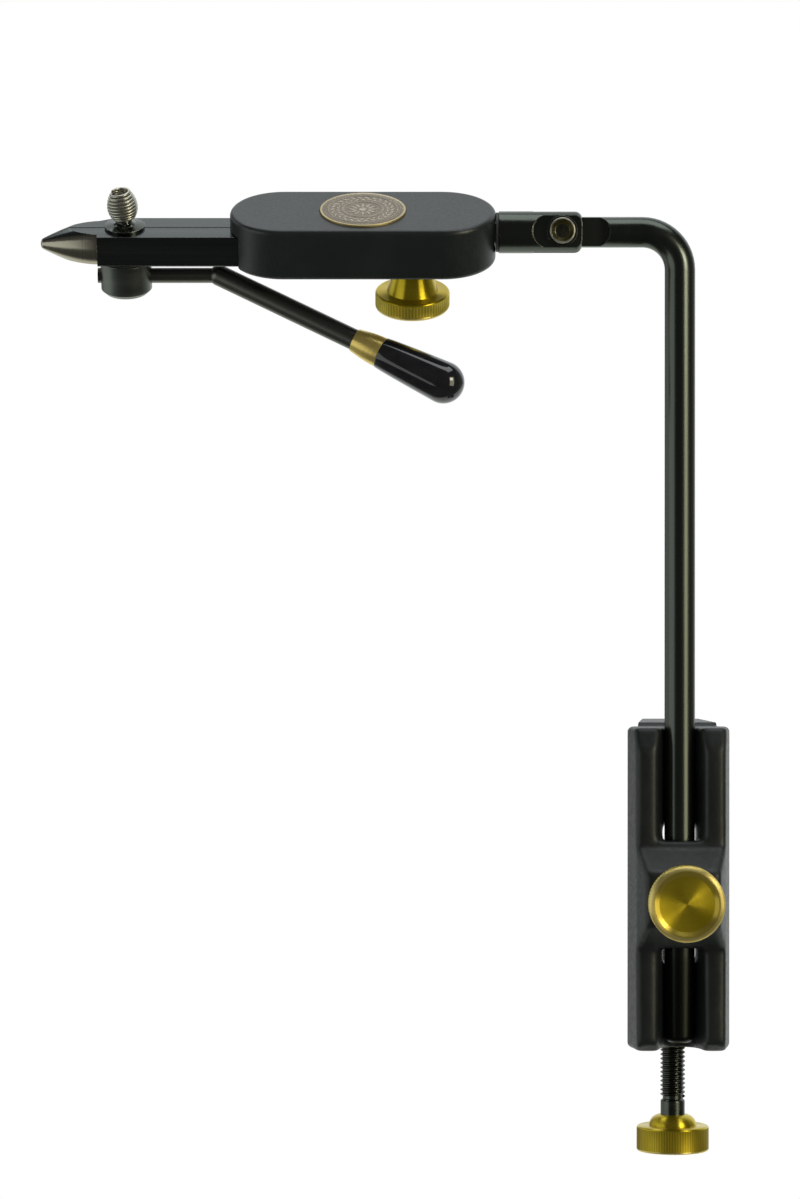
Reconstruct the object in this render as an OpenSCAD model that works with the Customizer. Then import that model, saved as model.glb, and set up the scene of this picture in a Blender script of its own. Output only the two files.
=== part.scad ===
// Fly tying vise with a lever-opened jaw head on a bent stem, held by a table clamp.
// Origin: middle of the table face under the clamp's upper jaw, on the clamp screw's axis.
// +X points away from the jaw tips, +Y into the table, +Z up along the stem.

/* [Clamp casting] */
// Height of the upper jaw, from the table face to the top of the ribs
upper_jaw_t = 11; // [9:0.1:14]
// Step from the top of the ribs up to the upper jaw's plate
upper_jaw_rise = 1.1; // [0.5:0.1:2]
// Height of the lower jaw
lower_jaw_t = 16.4; // [12:0.1:22]
// Clear height of the throat between the two jaws
throat_h = 73; // [68:0.5:85]
// Distance from the stem's axis back to the clamp screw's axis
screw_back = 31.4; // [28:0.1:40]
// Reach of the jaws past the clamp screw's axis
jaw_nose = 13.6; // [11:0.1:18]
// Half width of the jaws where they leave the spine
jaw_root_half = 12.9; // [11:0.1:14]
// Half width of the jaws at their nose
jaw_nose_half = 9; // [7.5:0.1:10.5]
// Half width of the spine at its back edge
spine_back_half = 16.2; // [14.8:0.1:18]
// Half width of the spine at its front ribs
spine_front_half = 13.7; // [13:0.1:14.6]
// Depth of the spine behind the stem's axis
spine_back_t = 6.8; // [6.2:0.1:9]
// Depth of the ribs in front of the stem's axis
rib_front_t = 8.5; // [7.5:0.1:10]
// Half width of the stem channel at the front of the ribs
channel_half = 7.25; // [6.6:0.05:8]
// Side play of the channel and the rear window beside the stem
channel_play = 0.5; // [0.3:0.05:0.9]
// Height of the channel's closed back above the rear window
window_drop = 28.6; // [22:0.1:32]
// Height of the rear window
window_h = 44.9; // [36:0.1:50]
// Height of the bevel on the top ends of the ribs
rib_bevel_h = 7; // [4:0.1:9]
// Depth of the bevel on the top ends of the ribs
rib_bevel_t = 3.4; // [2:0.1:4]
// Radius of the fillets in the throat
throat_r = 5; // [3:0.1:7]

/* [Stem lock] */
// Height of the lock knob's axis below the table face
lock_drop = 41.5; // [38:0.1:45]
// Front of the lock boss, in front of the stem's axis
boss_front_t = 18; // [15:0.1:21]
// Half width of the boss face
boss_half = 11.3; // [9:0.1:12.5]
// Height of the boss face
boss_face_h = 16.2; // [13:0.1:18]
// Height of the slope above the boss face
boss_slope_h = 7.7; // [5:0.1:8.5]
// Rise of the channel's closed wall above the slopes of the boss
boss_wall_up = 1.7; // [0.4:0.1:3]
// Diameter of the lock screw
lock_screw_d = 6.35; // [5:0.05:7]
// Length of the lock screw's loose tip
lock_tip_l = 3; // [2:0.1:5]

/* [Stem] */
// Diameter of the stem rod
stem_d = 9.525; // [8.5:0.005:10]
// Height of the stem's arm above the table face
arm_z = 165; // [120:0.5:180]
// Centre-line radius of the stem's bend
bend_r = 11.7; // [9:0.1:14]
// Height of the stem's lower end above the foot of the clamp
stem_foot_gap = 2.3; // [1:0.1:10]
// Distance of the tilt pivot from the stem's upright axis
pivot_out = 36.8; // [34:0.1:45]
// Thickness of the tongue that the tilt screw passes
tongue_t = 3.4; // [2.8:0.1:4.2]
// Length of the tongue's flats past the pivot, towards the upright
tongue_flat_l = 10.2; // [9.8:0.1:12]

/* [Knuckle] */
// Diameter of the knuckle barrel
knuckle_d = 13.05; // [12:0.05:14]
// Length of the knuckle barrel
knuckle_l = 26; // [22:0.1:32]
// Length of the barrel behind the tilt pivot
knuckle_tail = 6.3; // [5.6:0.1:7]
// Depth of the slot for the tongue
slot_l = 15.2; // [13:0.1:17]
// Height of the milled flat under the tilt screw's head
flat_half = 5; // [4.6:0.05:5.3]
// Diameter of the tilt screw's head
tilt_head_d = 8; // [7:0.1:8.4]
// Height of the tilt screw's head
tilt_head_h = 2.6; // [2:0.1:4]
// Diameter of the tilt screw's shank
tilt_screw_d = 4.8; // [4:0.1:5]
// Width of the tilt screw's hex socket across its flats
tilt_hex = 4; // [3:0.1:4.5]
// Diameter of the spindle that the head turns on
spindle_d = 9.525; // [8.5:0.005:10]
// Diameter of the spindle's nose
spindle_nose_d = 6.35; // [5.5:0.05:6.8]

/* [Head housing] */
// Roll of the head about the spindle, towards the front
head_roll = 27.5; // [0:0.5:90]
// Length of the housing
housing_l = 82.6; // [78:0.1:92]
// Width of the housing
housing_w = 33.4; // [31:0.1:38]
// Height of the housing above the spindle's axis
housing_up = 7.25; // [7:0.05:9]
// Height of the housing below the spindle's axis
housing_down = 9.25; // [9:0.05:11]
// Radius of the housing's long edges
housing_edge_r = 1.5; // [0.8:0.1:2.5]
// Gap between the knuckle and the housing, filled by a washer
washer_gap = 0.8; // [0.5:0.05:1.5]
// Diameter of the medallion
medallion_d = 26.7; // [20:0.1:28]
// Thickness of the medallion
medallion_t = 1.2; // [1:0.05:1.4]
// Height of the medallion above the housing
medallion_proud = 0.6; // [0.3:0.05:0.8]
// Thickness of the bottom cover plate
cover_t = 1.5; // [1:0.05:1.6]

/* [Jaws] */
// Width of one jaw
jaw_w = 7.94; // [7.5:0.01:8.3]
// Height of the jaws above the spindle's axis
jaw_up = 1.55; // [1.3:0.01:1.8]
// Height of the jaws below the spindle's axis
jaw_down = 8.25; // [8:0.01:8.6]
// Distance of the jaw tips from the stem's upright axis
tip_out = 199; // [192:0.1:205]
// Length of the turned tip
tip_l = 18; // [14:0.1:22]
// Radius at the end of the tip
tip_end_r = 1.3; // [0.8:0.05:1.6]
// Radius where the turned tip meets the jaw bars
tip_base_r = 7.6; // [7:0.05:8.6]
// Depth of the turned tip's axis below the spindle's axis
tip_drop = 3.8; // [3.4:0.05:4.2]
// Distance of the jaw pivots from the housing's front end
jaw_pivot_in = 15; // [13:0.1:17]
// Distance of the jaw tails' ends ahead of the spindle's nose
tail_gap = 4.525; // [3:0.025:8]

/* [Cam and lever] */
// Distance of the cam's axis behind the jaw tips
cam_in = 26.3; // [22:0.1:30]
// Radius of the cam's lobes
cam_lobe_r = 3.2; // [2.8:0.05:3.5]
// Half thickness of the cam across its flats
cam_flat = 1.6; // [1.4:0.05:1.8]
// Diameter of the cam barrel under the jaws
barrel_d = 15.9; // [14.5:0.1:17]
// Height of the cam barrel
barrel_h = 11.1; // [10:0.1:13]
// Diameter of the collar's flange on top of the jaws
collar_d = 12.5; // [10:0.1:14]
// Height of the collar
collar_h = 2.4; // [2:0.1:3.5]
// Diameter of the lever rod inside the cam barrel
rod_d = 4.76; // [4:0.01:5]
// Depth of the lever rod's axis below the top of the cam barrel
rod_drop = 5.8; // [5.2:0.1:6.4]
// Distance from the cam's axis to the lever's bend
bend_out = 29.1; // [24:0.1:32]
// Diameter of the lever's arm
arm_d = 6.6; // [5.5:0.05:7]
// Angle that the lever's arm turns outwards at its bend
lever_out = 22.5; // [18:0.1:30]
// Angle that the lever's arm drops at its bend
lever_down = 17.2; // [15:0.1:20]
// Length of bare arm between the bend and the ferrule
bare_l = 48.2; // [42:0.1:54]
// Length of the ferrule
ferrule_l = 9.2; // [7:0.1:10]
// Diameter of the ferrule's wide end
ferrule_d = 9.6; // [8.5:0.1:10]
// Length of the grip
grip_l = 28.4; // [24:0.1:30]
// Diameter of the grip where it meets the ferrule
grip_root_d = 10; // [9.6:0.1:10.4]
// Diameter of the grip at its widest
grip_d = 13.2; // [12:0.1:14]

/* [Material spring] */
// Diameter of the material spring's wire
mat_wire_d = 0.84; // [0.6:0.01:0.86]
// Height of the material spring
mat_spring_h = 10.3; // [10:0.1:12]
// Outer diameter of the material spring at its ends
mat_end_d = 5.6; // [5.4:0.1:6.2]
// Outer diameter of the material spring at its waist
mat_waist_d = 9.65; // [7:0.05:10]
// Curls in the material spring
mat_curls = 7.5; // [5:0.5:7.5]
// Lean of the material spring towards the jaw tips
mat_lean = 6.5; // [0:0.5:8]

/* [Knobs] */
// Diameter of the tension and lock knobs
knob_d = 23.3; // [18:0.1:23.6]
// Thickness of the knob's disc
knob_disc_t = 5.8; // [4:0.1:6.2]
// Length of the knob's tapered hub
knob_hub_l = 9.9; // [6:0.1:10.5]
// Diameter of the hub where it meets the disc
knob_hub_root_d = 15.2; // [12:0.1:16]
// Diameter of the hub at its end
knob_hub_end_d = 11.4; // [9:0.1:12]
// Distance of the tension knob's axis from the housing's rear end
tension_in = 25.9; // [24.5:0.1:26.2]
// Diameter of the tension screw
tension_screw_d = 6.35; // [5:0.05:7]

/* [Clamp screw] */
// Diameter of the clamp screw
clamp_screw_d = 7.94; // [6.5:0.01:8.5]
// Depth of the pad's face below the table face
pad_drop = 28; // [22:0.5:40]
// Diameter of the pad
pad_d = 18; // [15:0.1:21]
// Thickness of the pad
pad_t = 5; // [4.4:0.1:6]
// Threaded length that shows below the clamp
thread_shown_l = 19.5; // [15:0.1:30]
// Length of the plain collar above the clamp knob
screw_collar_l = 4.9; // [3:0.1:7]
// Diameter of the clamp knob
clamp_knob_d = 23; // [18:0.1:26]
// Thickness of the clamp knob's disc
clamp_knob_t = 8; // [6:0.1:10]
// Height of the clamp knob's domed hub
clamp_hub_h = 3.6; // [3:0.1:5]
// Diameter of the clamp knob's hub where it meets the disc
clamp_hub_d = 15.1; // [12:0.1:17]

/* [Fits] */
// Radial clearance of shafts and screws in their holes
running_fit = 0.06; // [0.02:0.01:0.1]
// Clearance between flat faces that slide on each other
face_gap = 0.05; // [0.03:0.01:0.08]
// Half of the gap between the jaw tips when closed
jaw_tip_gap = 0.02; // [0.01:0.01:0.04]
// Half of the slit between the jaw bars behind the tips
jaw_slit = 0.25; // [0.1:0.05:0.3]

/* [Hidden] */
$fn = 64;
// Overrun of every cut past the face that it opens
over = 1;
// Short lines in each rounded corner of an outline
arc_steps = 6;

// Clamp, worked out
stem_r = stem_d / 2;
stem_y = -screw_back;
rib_top_z = upper_jaw_t;
plate_top_z = upper_jaw_t + upper_jaw_rise;
foot_z = -throat_h - lower_jaw_t;
spine_back_y = stem_y + spine_back_t;
rib_front_y = stem_y - rib_front_t;
boss_front_y = stem_y - boss_front_t;
channel_in = stem_r + channel_play;
stem_bore_r = stem_r + running_fit;
window_top_z = rib_top_z - window_drop;
spine_corner_r = 1.3;
spine_end_r = 1.6;
rib_outer_r = 2;
rib_inner_r = 2.6;
nose_corner_r = 4;
nose_top_r = 3;
nose_lip_r = 1.2;
plate_setback = 3.2;
foot_bevel_h = 3;
foot_bevel_t = 2;
boss_round_r = 1.5;

// Clamp screw, worked out
screw_r = clamp_screw_d / 2;
screw_hole_r = screw_r + running_fit;
pad_top_z = -pad_drop;
pad_under_z = pad_top_z - pad_t;
neck_r = screw_r * 0.65;
groove_r = neck_r * 0.85;
clip_t = 0.8;
clip_r = neck_r * 1.7;
clip_room = 1.2;
pad_cup_r = clip_r + clip_room;
pad_cup_h = 2.4;
clip_z = pad_top_z - pad_cup_h + face_gap;
neck_top_z = clip_z + clip_t + clip_t / 2;
screw_shoulder_z = pad_under_z - face_gap;
collar_top_z = foot_z - thread_shown_l;
clamp_knob_top_z = collar_top_z - screw_collar_l;
screw_collar_r = screw_r * 0.976;
knob_lip = 0.8;
clamp_disc_top_z = clamp_knob_top_z - clamp_hub_h;
clamp_knob_foot_z = clamp_disc_top_z - clamp_knob_t;
knob_grip_l = clamp_knob_t * 0.8;

// Stem lock, worked out
lock_z = -lock_drop;
lock_r = lock_screw_d / 2;
lock_hole_r = lock_r + running_fit;
lock_tip_y = stem_y - stem_r - face_gap;
lock_screw_y = lock_tip_y - lock_tip_l - face_gap;
knob_clear = 0.6;
lock_hub_y = boss_front_y - knob_clear;
dish_share = 0.78;
dish_depth = 0.8;
dish_bevel = 1.2;
knob_blind_l = knob_disc_t * 0.6;

// Stem and knuckle, worked out
stem_foot_z = foot_z + stem_foot_gap;
stem_round_r = 2;
pivot_x = -pivot_out;
knuckle_r = knuckle_d / 2;
knuckle_rear_x = pivot_x + knuckle_tail;
knuckle_front_x = knuckle_rear_x - knuckle_l;
slot_half = tongue_t / 2 + face_gap * 2;
flat_y = sqrt(knuckle_r * knuckle_r - flat_half * flat_half);
mill_r = flat_half * 1.06;
flat_mill_x = pivot_x - flat_half * 0.78;
tilt_washer_t = 0.6;
tilt_washer_r = flat_half * 0.96;
tilt_r = tilt_screw_d / 2;
knuckle_round_r = 2.2;
knuckle_chamfer = 0.4;
spindle_r = spindle_d / 2;
nose_r = spindle_nose_d / 2;
spindle_spare = 0.5;
spindle_l = tension_in + tension_screw_d / 2 + spindle_spare;
web_t = 2.5;
nose_out = 4;
ring_t = 0.9;
ring_wall = 1.5;

// Head housing, worked out
housing_rear_x = knuckle_front_x - washer_gap;
housing_front_x = housing_rear_x - housing_l;
housing_r = housing_w / 2;
end_front_x = housing_front_x + housing_r;
end_rear_x = housing_rear_x - housing_r;
medallion_x = (housing_front_x + housing_rear_x) / 2;
spindle_shoulder_x = housing_rear_x - spindle_l;
pocket_rear_x = spindle_shoulder_x - web_t;
jaw_side_room = 0.8;
pocket_half = jaw_w + jaw_slit + jaw_side_room;
jaw_face_room = 0.3;
pocket_roof = jaw_up + jaw_face_room;
ring_room = 0.7;
ring_room_r = nose_r + ring_wall + ring_room;
cover_side_lap = 4.6;
cover_rear_lap = 1.2;
cover_front_in = 9.6;
cover_half = pocket_half + cover_side_lap;
cover_front_x = housing_front_x + cover_front_in;
cover_rear_x = pocket_rear_x + cover_rear_lap;
cover_screw_r = 1;
cover_screw_y = (pocket_half + cover_half) / 2;
cover_screw_inset = 3.4;
cover_screw_l = 6;
cover_corner_r = 3;

// Tension knob, worked out
tension_x = housing_rear_x - tension_in;
tension_r = tension_screw_d / 2;
plug_t = 1.4;
plug_top = -spindle_r - face_gap;
tension_screw_top = plug_top - plug_t - face_gap;
tension_hub_z = -housing_down - knob_clear;

// Jaws, worked out
jaw_pivot_x = housing_front_x + jaw_pivot_in;
jaw_pivot_y = jaw_w / 2;
jaw_pin_r = 2;
jaw_tip_x = -tip_out;
jaw_root_x = jaw_tip_x + tip_l;
jaw_tail_x = pocket_rear_x - nose_out - tail_gap;
tail_l = jaw_tail_x - jaw_pivot_x;
jaw_relief_x = cover_front_x - 2 * jaw_face_room;
tail_floor = -housing_down + cover_t + jaw_face_room;
tail_slit = 1.2;
tip_land_l = 6;
tip_power = 1.5;
tip_nose_r = 0.7;
jaw_edge = 0.4;
pin_rise = 3;
jaw_spring_in = 5;
jaw_spring_play = 0.3;
jaw_spring_x = jaw_tail_x - jaw_spring_in;
jaw_spring_z = (jaw_up + tail_floor) / 2;
jaw_spring_d = 4.6;
jaw_spring_wire = 0.6;
jaw_spring_half = jaw_w * 0.64;
jaw_spring_curls = 7;

// Cam and lever, worked out
cam_x = jaw_tip_x + cam_in;
barrel_r = barrel_d / 2;
cam_washer_t = 0.4;
barrel_top = -jaw_down - cam_washer_t - face_gap * 2;
barrel_foot = barrel_top - barrel_h;
barrel_chamfer = 1.3;
barrel_edge = 0.4;
rod_z = barrel_top - rod_drop;
rod_r = rod_d / 2;
rod_end_out = 0.9;
journal_floor = 0.6;
journal_l = rod_drop - rod_r - journal_floor;
collar_z = jaw_up + face_gap;
collar_flange_t = 0.8;
collar_neck_r = mat_end_d / 2 - mat_wire_d / 2;
stud_play = 0.12;
stud_r = mat_end_d / 2 - mat_wire_d - stud_play;
stud_rise = 1.8;
arm_r = arm_d / 2;
arm_in_grip = grip_l * 0.7;
grip_start = bare_l + ferrule_l;
set_screw_r = 2;
tube_sides = 6;
rings_per_curl = 8;

// Outline helpers
function unit(v) = v / norm(v);
function between(a, b, share) = a + (b - a) * share;
function swing(a) = a > 180 ? a - 360 : a < -180 ? a + 360 : a;
// A corner at q between p and s, rounded to radius r
function corner(p, q, s, r) =
    let (a = unit(p - q), b = unit(s - q))
    let (half = acos(a * b) / 2, c = q + unit(a + b) * r / sin(half))
    let (from = q + a * r / tan(half) - c, to = q + b * r / tan(half) - c)
    let (a0 = atan2(from[1], from[0]), turn = swing(atan2(to[1], to[0]) - a0))
    [for (i = [0:arc_steps]) c + r * [cos(a0 + turn * i / arc_steps), sin(a0 + turn * i / arc_steps)]];
function flat2(p) = [p[0], p[1]];
// An outline from points [x, y, corner radius]
function rounded(pts) =
    let (n = len(pts))
    [for (i = [0:n - 1])
        each pts[i][2] == 0 ? [flat2(pts[i])] :
            corner(flat2(pts[(i + n - 1) % n]), flat2(pts[i]), flat2(pts[(i + 1) % n]), pts[i][2])];
function mirrored(pts) = concat(pts, [for (i = [len(pts) - 1:-1:0]) [-pts[i][0], pts[i][1], pts[i][2]]]);

// A helix tube: centre-line radius share by height comes from end_r to waist_r
function coil_turns(curls) = curls * rings_per_curl;
function coil_radius(t, end_r, waist_r) = end_r + (waist_r - end_r) * pow(sin(180 * pow(t, 0.85)), 0.8);
function coil_point(i, n, curls, end_r, waist_r, h) =
    let (t = i / n, r = coil_radius(t, end_r, waist_r), a = 360 * curls * t)
    [r * cos(a), r * sin(a), h * t];
function coil_points(curls, end_r, waist_r, h) =
    let (n = coil_turns(curls))
    [for (i = [0:n]) coil_point(i, n, curls, end_r, waist_r, h)];
function tube_ring(p, along, wire_r) =
    let (out = unit([p[0], p[1], 0]), side = unit(cross(along, out)), up = cross(side, along))
    [for (k = [0:tube_sides - 1])
        p + wire_r * (up * cos(360 * k / tube_sides) + side * sin(360 * k / tube_sides))];
function tube_points(path, wire_r) =
    let (n = len(path) - 1)
    [for (i = [0:n]) each tube_ring(path[i], unit(path[min(i + 1, n)] - path[max(i - 1, 0)]), wire_r)];
function tube_faces(rings) =
    let (s = tube_sides)
    concat([for (k = [1:s - 2]) [0, k, k + 1]],
        [for (i = [0:rings - 2], k = [0:s - 1])
            each [[i * s + k, (i + 1) * s + k, i * s + (k + 1) % s],
                [i * s + (k + 1) % s, (i + 1) * s + k, (i + 1) * s + (k + 1) % s]]],
        [for (k = [1:s - 2]) [(rings - 1) * s, (rings - 1) * s + k + 1, (rings - 1) * s + k]]);
// Least distance from one curl's points to the next curl's, less the wire
function coil_gap(path, wire_r) =
    min([for (i = [0:len(path) - 1 - rings_per_curl]) for (j = [-2:2])
        let (k = i + rings_per_curl + j)
        if (k < len(path)) norm(path[i] - path[k])]) - 2 * wire_r;

module coil(curls, end_r, waist_r, h, wire_r) {
    path = coil_points(curls, end_r, waist_r, h);
    polyhedron(tube_points(path, wire_r), tube_faces(len(path)), convexity = 10);
}

// Placing helpers
module from_x(x) translate([x, 0, 0]) rotate([0, 90, 0]) children();
module at_stem() translate([0, stem_y, 0]) children();
module at_arm() translate([0, stem_y, arm_z]) children();
module in_head() at_arm() rotate([head_roll, 0, 0]) children();
module at_cam() in_head() translate([cam_x, 0, 0]) children();
module at_lever() at_cam() translate([bend_out, 0, rod_z]) rotate([0, lever_down, -lever_out]) children();
module at_lock() translate([0, 0, lock_z]) rotate([90, 0, 0]) children();
module across_x(half, pts) rotate([90, 0, 90]) translate([0, 0, -half])
    linear_extrude(2 * half) polygon(rounded(pts));
module tall(low, high) translate([0, 0, low]) linear_extrude(high - low) children();
module turned(pts) rotate_extrude() polygon(pts);

// The clamp casting
module spine_section() {
    polygon(rounded(mirrored([
        [spine_back_half, spine_back_y, spine_corner_r],
        [spine_front_half, rib_front_y, rib_outer_r],
        [channel_half, rib_front_y, rib_inner_r],
        [channel_in, stem_y, 0]])));
}

// The spine's outline from the front, with its corners eased
module spine_ends() {
    translate([0, spine_back_y + over, 0]) rotate([90, 0, 0])
        linear_extrude(spine_back_t + rib_front_t + 2 * over) polygon(rounded(mirrored([
            [spine_back_half, foot_z, spine_end_r],
            [spine_back_half, rib_top_z, spine_end_r]])));
}

module jaw_plan() {
    polygon(rounded(mirrored([
        [jaw_root_half, spine_back_y - over, 0],
        [jaw_nose_half, jaw_nose, nose_corner_r]])));
}

module jaw_side() {
    across_x(spine_back_half, [
        [spine_back_y - over, foot_z, 0],
        [jaw_nose, foot_z, nose_top_r],
        [jaw_nose, -throat_h, nose_lip_r],
        [spine_back_y, -throat_h, throat_r],
        [spine_back_y, 0, throat_r],
        [jaw_nose, 0, nose_lip_r],
        [jaw_nose, plate_top_z, nose_top_r],
        [spine_back_y + plate_setback, plate_top_z, 0],
        [spine_back_y + plate_setback, rib_top_z, 0],
        [spine_back_y - over, rib_top_z, 0]]);
}

module lock_boss() {
    face_top = lock_z + boss_face_h / 2;
    face_foot = lock_z - boss_face_h / 2;
    wall_top = face_top + boss_slope_h + boss_wall_up;
    wall_foot = face_foot - boss_slope_h;
    intersection() {
        across_x(spine_front_half, [
            [boss_front_y, face_foot, boss_round_r],
            [rib_front_y, wall_foot, 0],
            [stem_y, wall_foot, 0],
            [stem_y, wall_top, 0],
            [rib_front_y, wall_top, 0],
            [rib_front_y, face_top + boss_slope_h, 0],
            [boss_front_y, face_top, boss_round_r]]);
        tall(foot_z, rib_top_z) polygon(rounded(mirrored([
            [spine_front_half, stem_y, 0],
            [spine_front_half, rib_front_y, 0],
            [boss_half, boss_front_y, boss_round_r]])));
    }
}

module rib_bevel(z, way, h, t) {
    across_x(spine_back_half + over, [
        [rib_front_y - over, z - way * h, 0],
        [rib_front_y, z - way * h, 0],
        [rib_front_y + t, z, 0],
        [rib_front_y + t, z + way * over, 0],
        [rib_front_y - over, z + way * over, 0]]);
}

module clamp_body() {
    color("#2b2e2f") difference() {
        union() {
            intersection() {
                tall(foot_z, rib_top_z) spine_section();
                spine_ends();
            }
            intersection() {
                tall(foot_z - over, plate_top_z + over) jaw_plan();
                jaw_side();
            }
            lock_boss();
        }
        at_stem() translate([0, 0, foot_z - over])
            cylinder(r = stem_bore_r, h = rib_top_z - foot_z + 2 * over);
        translate([-channel_in, stem_y, window_top_z - window_h])
            cube([2 * channel_in, spine_back_t + over, window_h]);
        translate([0, 0, foot_z - over]) cylinder(r = screw_hole_r, h = lower_jaw_t + 2 * over);
        translate([0, stem_y, 0]) at_lock() cylinder(r = lock_hole_r, h = boss_front_t + over);
        rib_bevel(rib_top_z, 1, rib_bevel_h, rib_bevel_t);
        rib_bevel(foot_z, -1, foot_bevel_h, foot_bevel_t);
    }
}

// The clamp screw with its swivel pad and knob
module clamp_pad() {
    color("#3a3d40") difference() {
        translate([0, 0, pad_under_z]) turned([[0, 0], [pad_d / 2 - knob_lip, 0], [pad_d / 2, knob_lip],
            [pad_d / 2, pad_t], [0, pad_t]]);
        translate([0, 0, pad_under_z - over]) cylinder(r = neck_r + running_fit, h = pad_t + 2 * over);
        translate([0, 0, pad_top_z - pad_cup_h]) cylinder(r = pad_cup_r, h = pad_cup_h + over);
    }
}

module pad_clip() {
    color("silver") translate([0, 0, clip_z]) difference() {
        cylinder(r = clip_r, h = clip_t);
        translate([0, 0, -over]) cylinder(r = groove_r, h = clip_t + 2 * over);
    }
}

module clamp_screw() {
    color("#25282a") union() {
        difference() {
            translate([0, 0, screw_shoulder_z - over]) cylinder(r = neck_r, h = neck_top_z - screw_shoulder_z + over);
            translate([0, 0, clip_z]) difference() {
                cylinder(r = neck_r + over, h = clip_t);
                cylinder(r = groove_r, h = clip_t);
            }
        }
        translate([0, 0, collar_top_z]) cylinder(r = screw_r, h = screw_shoulder_z - collar_top_z);
        translate([0, 0, clamp_knob_top_z - clamp_hub_h - knob_grip_l])
            cylinder(r = screw_collar_r, h = screw_collar_l + clamp_hub_h + knob_grip_l);
    }
}

module clamp_knob() {
    disc_r = clamp_knob_d / 2;
    hub_r = clamp_hub_d / 2;
    grip_foot = clamp_disc_top_z - knob_grip_l;
    color("#b08d2e") turned(concat(
        [[0, clamp_knob_foot_z], [disc_r - knob_lip, clamp_knob_foot_z], [disc_r, clamp_knob_foot_z + knob_lip],
            [disc_r, clamp_disc_top_z - knob_lip], [disc_r - knob_lip, clamp_disc_top_z]],
        [for (i = [0:arc_steps]) let (a = 90 * i / arc_steps)
            [between(screw_collar_r, hub_r, cos(a)), between(clamp_disc_top_z, clamp_knob_top_z, sin(a))]],
        [[screw_collar_r, grip_foot], [0, grip_foot]]));
}

// A brass thumb knob, its dish facing down at zero and its hub standing up, bored for a screw
module thumb_knob(bore_r) {
    disc_r = knob_d / 2;
    dish_r = disc_r * dish_share;
    top = knob_disc_t + knob_hub_l;
    turned([[0, dish_depth], [dish_r, dish_depth], [dish_r + dish_bevel, 0], [disc_r - knob_lip, 0],
        [disc_r, knob_lip], [disc_r, knob_disc_t - knob_lip], [disc_r - knob_lip, knob_disc_t],
        [knob_hub_root_d / 2, knob_disc_t], [knob_hub_end_d / 2, top],
        [bore_r, top], [bore_r, knob_blind_l], [0, knob_blind_l]]);
}

// The stem lock
module stem_lock_tip() {
    color("#c9a24a") translate([0, lock_tip_y, 0]) at_lock() cylinder(r = lock_r, h = lock_tip_l);
}

module stem_lock_screw() {
    color("#55585a") translate([0, lock_screw_y, 0]) at_lock()
        cylinder(r = lock_r, h = lock_screw_y - lock_hub_y + knob_disc_t + knob_hub_l - knob_blind_l);
}

module stem_lock_knob() {
    color("#b08d2e") translate([0, lock_hub_y - knob_disc_t - knob_hub_l, lock_z]) rotate([-90, 0, 0])
        thumb_knob(lock_r);
}

// The stem, one bent rod with a flat tongue
module stem_rod() {
    mill_x = pivot_x + tongue_flat_l;
    color("#1d1f1e") at_stem() difference() {
        union() {
            translate([0, 0, stem_foot_z]) turned(rounded([[0, 0, 0], [stem_r, 0, stem_round_r],
                [stem_r, arm_z - bend_r - stem_foot_z, 0], [0, arm_z - bend_r - stem_foot_z, 0]]));
            translate([-bend_r, 0, arm_z - bend_r]) rotate([90, 0, 0])
                rotate_extrude(angle = 90) translate([bend_r, 0]) circle(r = stem_r);
            translate([0, 0, arm_z]) intersection() {
                from_x(pivot_x - stem_r) cylinder(r = stem_r, h = pivot_out - bend_r + stem_r);
                union() {
                    translate([pivot_x, 0, 0]) rotate([90, 0, 0]) cylinder(r = stem_r, h = stem_d, center = true);
                    translate([pivot_x, -stem_r, -stem_r]) cube([pivot_out - bend_r, stem_d, stem_d]);
                }
            }
        }
        for (side = [-1, 1])
            translate([0, side * (tongue_t + stem_d) / 2, arm_z]) rotate([90, 0, 0]) {
                translate([mill_x, 0, 0]) cylinder(r = stem_r, h = stem_d, center = true);
                translate([pivot_x - stem_d, -stem_d, -stem_r]) cube([mill_x - pivot_x + stem_d, 2 * stem_d, stem_d]);
            }
        translate([pivot_x, 0, arm_z]) rotate([90, 0, 0])
            cylinder(r = tilt_r + running_fit, h = stem_d, center = true);
    }
}

// The knuckle with its spindle, turned from one bar
module knuckle_bar() {
    nose_l = web_t + nose_out;
    full_l = nose_l + knuckle_front_x - spindle_shoulder_x;
    groove_l = nose_out - ring_t - 2 * face_gap;
    from_x(spindle_shoulder_x - nose_l) turned(rounded([
        [0, 0, 0],
        [nose_r, 0, knuckle_chamfer],
        [nose_r, groove_l, 0],
        [nose_r - knuckle_chamfer, groove_l, 0],
        [nose_r - knuckle_chamfer, groove_l + ring_t, 0],
        [nose_r, groove_l + ring_t, 0],
        [nose_r, nose_l, 0],
        [spindle_r, nose_l, knuckle_chamfer],
        [spindle_r, full_l, 0],
        [knuckle_r, full_l, knuckle_chamfer],
        [knuckle_r, full_l + knuckle_l, knuckle_round_r],
        [0, full_l + knuckle_l, 0]]));
}

module knuckle_barrel() {
    color("#1d1f1e") at_arm() difference() {
        knuckle_bar();
        translate([knuckle_rear_x - slot_l, -slot_half, -knuckle_r - over])
            cube([slot_l + over, 2 * slot_half, knuckle_d + 2 * over]);
        translate([0, -flat_y, 0]) rotate([90, 0, 0]) {
            translate([flat_mill_x, 0, 0]) cylinder(r = mill_r, h = knuckle_r);
            translate([flat_mill_x, -mill_r, 0]) cube([knuckle_rear_x - flat_mill_x + over, 2 * mill_r, knuckle_r]);
        }
        translate([pivot_x, 0, 0]) rotate([90, 0, 0])
            cylinder(r = tilt_r, h = knuckle_d + 2 * over, center = true);
    }
}

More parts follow.
